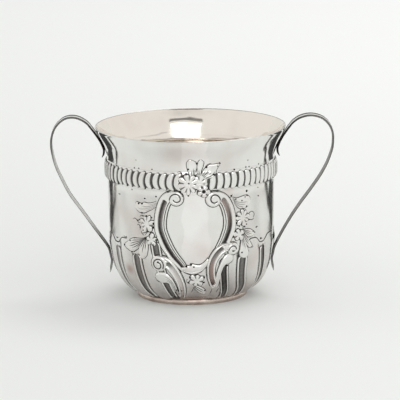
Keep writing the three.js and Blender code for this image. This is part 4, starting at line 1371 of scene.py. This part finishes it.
def buildFoot(f):
    points, tarnish = [], []
    for i in range(f["count"]):
        a = 2 * math.pi * i / f["count"]
        wave = 0.05 * math.sin(3 * a + 0.5) + 0.035 * math.sin(8 * a + 1.1) + 0.025 * math.sin(19 * a)
        for inset, height in f["section"]:
            outer = inset < 1.5
            radius = f["radius"] - inset + (min(0.0, wave - 0.1) if outer and 0.1 < height < 3 else 0)
            points.append((radius * math.cos(a) * mm, radius * math.sin(a) * mm, height * mm))
            # darker along the top, painted shade under the belly's overhang, and along the bottom edge
            seam = max(0.0, height - 2.6) if outer else 0.2
            tarnish.append(min(1.0, 0.9 * seam + (0.35 if height < 0.1 else 0.0)))
    faces = [face[::-1] for face in tubeFaces(f["count"], len(f["section"]), closed=True)]
    return meshObject("foot_band", points, faces, {"tarnish": tarnish})


footBand = buildFoot(foot)
finishPiece(footBand, footSilver, "foot_silver", "foot_ring")


straps = {
    "width": 8.0,
    "endWidth": 5.5,
    "thickness": 1.1,
    "gap": 0.08,               # between the metal of the strap and the wall
    "standOff": 0.07,          # a little more than that between its ends
    "count": 190,
    # where both ends lie on the wall: the way up it, and how far off it
    "upper": [(75.3, 2.0), (77.4, 0.8), (79.5, 0.15), (82.75, 0.05), (86.0, 0.1)],
    "lower": [(27.0, 0.85), (23.75, 0.62), (20.5, 0.7), (17.75, 2.0), (15.0, 3.9)],
    # share across, and height over the middle line, away from the cup below 0
    "section": [
        (-0.6, 0.52), (-0.2, 0.55), (0.2, 0.55), (0.6, 0.52), (0.86, 0.42), (0.965, 0.23), (1.0, 0.0),
        (0.965, -0.35), (0.88, -0.51), (0.6, -0.55), (0.2, -0.55), (-0.2, -0.55), (-0.6, -0.55),
        (-0.88, -0.51), (-0.965, -0.35), (-1.0, 0.0), (-0.965, 0.23), (-0.86, 0.42),
    ],
    # share of the length with darkening on the edges, and painted shade on the face towards the cup, left and
    # right
    "edge": (
        [(0, 0.9), (0.12, 0.9), (0.2, 0.6), (0.42, 0.6), (0.5, 0.2), (0.74, 0.2), (0.84, 0.8), (1, 0.4)],
        [(0, 0.9), (0.12, 0.9), (0.24, 0.6), (0.3, 0.55), (0.42, 0.62), (0.7, 0.62), (0.82, 0.75), (1, 0.5)],
    ),
    "face": (
        [(0, 0.85), (0.34, 0.7), (0.44, 0.35), (0.74, 0.3), (0.84, 0.7), (1, 0.7)],
        [(0, 0.85), (0.3, 0.7), (0.42, 0.6), (0.7, 0.65), (0.84, 0.75), (1, 0.7)],
    ),
    "left_strap": [
        (51.9, 89.2), (54, 91.8), (57.6, 94.1), (60.2, 94.9), (62.8, 95), (65.6, 94.3), (68.2, 92.5),
        (70.7, 89.6), (72.2, 86.1), (72.9, 82.4), (72.8, 78.6), (72.1, 74.7), (71.2, 71), (69.8, 66.9),
        (68, 62.9), (63.5, 54), (57.3, 45.1), (51, 36),
    ],
    "right_strap": [
        (51.7, 89), (53.6, 91.3), (57.2, 93.7), (62.5, 94.9), (67.4, 94), (70.4, 92.2), (73, 89),
        (74.3, 85.5), (74.55, 82), (74.1, 77.5), (72.8, 73.3), (71.2, 69.3), (69.2, 65.4), (67, 61.8),
        (62.4, 55.2), (57, 47.9), (50.6, 38.2),
    ],
}


def strapLine(s, bend):
    # middle line of a strap in the handles' plane, from the tail on the neck to the tail on the belly
    def seat(y, off):
        r, z, outR, outZ = (float(v) for v in sheetAt(y))
        lift = s["gap"] + s["thickness"] / 2 + off
        return r + outR * lift, z + outZ * lift

    upper, lower = ([seat(*spot) for spot in s[key]] for key in ("upper", "lower"))
    return smoothLine([*upper, *bend, *lower], 0.6)


def buildStrap(name, side, s):
    line = strapLine(s, s[name])
    run = runAlong(line)
    share = np.linspace(0, 1, s["count"])
    path = np.stack([np.interp(share * run[-1], run, line[:, k]) for k in (0, 1)], -1)
    along = heading(path, 3)
    out = np.stack([along[:, 1], -along[:, 0]], -1)
    away = out * s["standOff"] * ease((share - 0.1) / 0.06)[:, None]
    path += away * (1 - ease((share - 0.8) / 0.06))[:, None]
    ends = np.minimum(share, 1 - share) / 0.02
    half = (s["width"] + (s["endWidth"] - s["width"]) * ease(share)) / 2 * np.sqrt(np.clip(ends, 0.02, 1))
    edge, face = (tableAt(s[key][side > 0], share) for key in ("edge", "face"))
    points, tarnish = [], []
    for i, t in enumerate(share):
        wave = 0.05 * math.sin(37 * t + side) + 0.03 * math.sin(71 * t)
        near = 0.5 * math.exp(-((t - 0.06) / 0.04) ** 2)
        for across, height in s["section"]:
            r, z = path[i] + out[i] * height * np.clip(ends[i], 0.35, 1)
            points.append((side * r * mm, side * across * (half[i] + wave) * mm, z * mm))
            if abs(across) == 1:
                level = edge[i]
            elif abs(across) > 0.95:  # dark along its corners
                level = 0.92 if height < 0 else 0.92 - 0.45 * ease((t - 0.4) / 0.08)
            elif height > 0:  # towards the cup: painted shade
                level = np.interp(across * side, [-0.3, 0.1], [face[i], 1.0])
            else:
                level = np.interp(across * side, [-0.9, -0.6, -0.2, 0.1, 0.9], [0.8, 0.3, 0.3, 0.95, 1.0])
            tarnish.append(min(1.0, level + near))
    count, last = len(s["section"]), len(points)
    faces = [*tubeFaces(len(share), count), tuple(range(count))[::-1], tuple(range(last - count, last))]
    return meshObject(name, points, faces, {"tarnish": tarnish})


for name, side, node in (("left_strap", -1, "left_handle"), ("right_strap", 1, "right_handle")):
    strap = buildStrap(name, side, straps)
    finishPiece(strap, strapSilver, "strap_silver", node)
print("straps and foot made")


stage = {
    "floor": (0.86, 0.87, 0.855),
    "lift": (0.06, 0.14),      # painted light: the paper glows for the camera and in the silver, less near, more far
    "liftReach": (0.0, 1.2),
    "rightward": 0.2,          # painted light for the camera: brighter on the right
    "front": -3.2,
    "depth": 2.7,
    "height": 2.6,
    "halfWidth": 2.9,
    "curve": 0.5,
    "sky": (0.88, 0.3),        # darker above the lamps
    "ceiling": (0.78, 0.95),
    "middle": Vector((0, 0, 0.08)),
}


def buildStage(s):
    # floor and backdrop as one swept sheet of white paper
    depth, curve = s["depth"], s["curve"]
    profile = [(s["front"], 0.0), (depth - curve, 0.0)]
    for a in np.linspace(0, math.pi / 2, 13)[1:]:
        profile.append((depth - curve + curve * math.sin(a), curve * (1 - math.cos(a))))
    profile.append((depth, s["height"]))
    points = [(x, y, z) for x in (-s["halfWidth"], s["halfWidth"]) for y, z in profile]
    n = len(profile)
    sweep = meshObject("studioSweep", points, [(i, n + i, n + i + 1, i + 1) for i in range(n - 1)])
    material = newMaterial("sweepPaper", {
        "Base Color": (*s["floor"], 1), "Roughness": 0.9, "Specular IOR Level": 0.0,
        "Emission Color": (1, 1, 1, 1),
    })
    tree = material.node_tree
    where = separate(tree, addNode(tree, "ShaderNodeTexCoord").outputs["Object"])
    # painted light: the paper glows for the camera and in the silver
    rays = addNode(tree, "ShaderNodeLightPath").outputs
    seen = calculate(tree, "MAXIMUM", rays["Is Camera Ray"], rays["Is Glossy Ray"])
    rightward = calculate(tree, "MULTIPLY", rays["Is Camera Ray"], s["rightward"])
    aside = calculate(tree, "MULTIPLY", where["X"], rightward)
    lift = calculate(tree, "ADD", mapRange(tree, where["Y"], s["liftReach"], s["lift"]), aside)
    glow = calculate(tree, "MULTIPLY", lift, seen)
    setInputs(tree, tree.nodes["Principled BSDF"], {"Emission Strength": glow})
    sweep.data.materials.append(material)


def buildWorld(s):
    # a bright room with a darker ceiling
    world = bpy.data.worlds.new("studio")
    bpy.context.scene.world = world
    world.use_nodes = True
    tree = world.node_tree
    where = separate(tree, addNode(tree, "ShaderNodeTexCoord").outputs["Generated"])
    bright = mapRange(tree, where["Z"], s["ceiling"], s["sky"])
    setInputs(tree, tree.nodes["Background"], {"Color": (1.0, 1.0, 0.99, 1), "Strength": bright})


buildStage(stage)
buildWorld(stage)


def aimed(azimuth, elevation, distance):
    # a place seen from the cup, azimuth from the front towards the right
    a, e = math.radians(azimuth), math.radians(elevation)
    return Vector((math.sin(a) * math.cos(e), -math.cos(a) * math.cos(e), math.sin(e))) * distance


def softbox(name, location, target, size, energy):
    light = bpy.data.lights.new(name, "AREA")
    light.shape = "RECTANGLE"
    light.size, light.size_y = size
    light.energy = energy
    holder = bpy.data.objects.new(name, light)
    holder.location = location
    holder.rotation_euler = (target - location).to_track_quat("-Z", "Y").to_euler()
    bpy.context.scene.collection.objects.link(holder)


lights = {
    # azimuth, elevation, distance, size, strength; the window is behind the camera and shows in the lining
    "window": (6.5, 28.0, 2.6, (1.75, 1.28), 9.0),
    "overhead": (152.0, 62.0, 1.8, (1.0, 0.8), 6.0),
}
for name, (azimuth, elevation, distance, size, energy) in lights.items():
    softbox(name, aimed(azimuth, elevation, distance), stage["middle"], size, energy)


cards = {
    # painted reflection: a dark strip over the window, seen only in the silver, where its frame would be:
    # azimuths and elevations, distance, shade
    "head": [(-20, 42.8), (34, 42.8), (34, 48.6), (-20, 48.6)],
    "headDistance": 2.4,
    "headShade": 0.28,
    # painted reflection: a dark strip on the table left and right behind the cup, seen only in the silver,
    # which the wall shows as a dark upright band
    "flag": [(0.058, 104), (0.058, 118), (0.6, 153), (0.6, 133)],
    "flagHeight": 0.0007,
    "flagShade": 0.06,
    # painted reflection: a glowing patch on the table in front, seen only in the silver, which the shield
    # shows as a bright band
    "patch": [(-0.08, -0.42), (0.16, -0.42), (0.016, -0.042), (-0.008, -0.042)],
    "patchHeight": 0.0008,
    "patchShade": 0.88,
    "patchGlow": 0.13,
}


def buildCard(name, points, shade, glow=0.0):
    card = meshObject(name, points, [(0, 1, 2, 3)])
    card.data.materials.append(newMaterial(name, {
        "Base Color": (shade, shade, shade, 1), "Emission Color": (1, 1, 0.99, 1), "Emission Strength": glow,
        "Roughness": 1.0, "Specular IOR Level": 0.0,
    }))
    # no camera, shadow or diffuse light sees a card: it is only a painted reflection in the silver
    card.visible_camera = card.visible_shadow = card.visible_diffuse = False


def buildCards(c):
    head = [aimed(*corner, c["headDistance"]) + stage["middle"] for corner in c["head"]]
    buildCard("windowHead", head, c["headShade"])
    for name, side in (("leftFlag", -1), ("rightFlag", 1)):
        spots = [(side * r * math.sin(math.radians(a)), -r * math.cos(math.radians(a))) for r, a in c["flag"]]
        buildCard(name, [(*spot, c["flagHeight"]) for spot in spots], c["flagShade"])
    patch = [(*spot, c["patchHeight"]) for spot in c["patch"]]
    buildCard("frontPatch", patch, c["patchShade"], c["patchGlow"])


buildCards(cards)


camera = {
    "distance": 2.0,
    "elevation": 11.5,
    "roll": 0.62,
    "lens": 343.2,
    "aim": (0.0046, 0.0, 0.0499),
}


def buildCamera(c):
    data = bpy.data.cameras.new("camera")
    data.lens = c["lens"]
    data.sensor_width = 36
    data.clip_start, data.clip_end = 0.05, 20
    holder = bpy.data.objects.new("camera", data)
    e = math.radians(c["elevation"])
    back = Vector((0, -math.cos(e), math.sin(e)))
    look = (-back).to_track_quat("-Z", "Y").to_matrix().to_4x4()
    turn = Matrix.Rotation(math.radians(-c["roll"]), 4, "Z")
    holder.matrix_world = Matrix.Translation(Vector(c["aim"]) + back * c["distance"]) @ look @ turn
    bpy.context.scene.collection.objects.link(holder)
    bpy.context.scene.camera = holder


buildCamera(camera)
bpy.context.scene.view_settings.view_transform = "Standard"
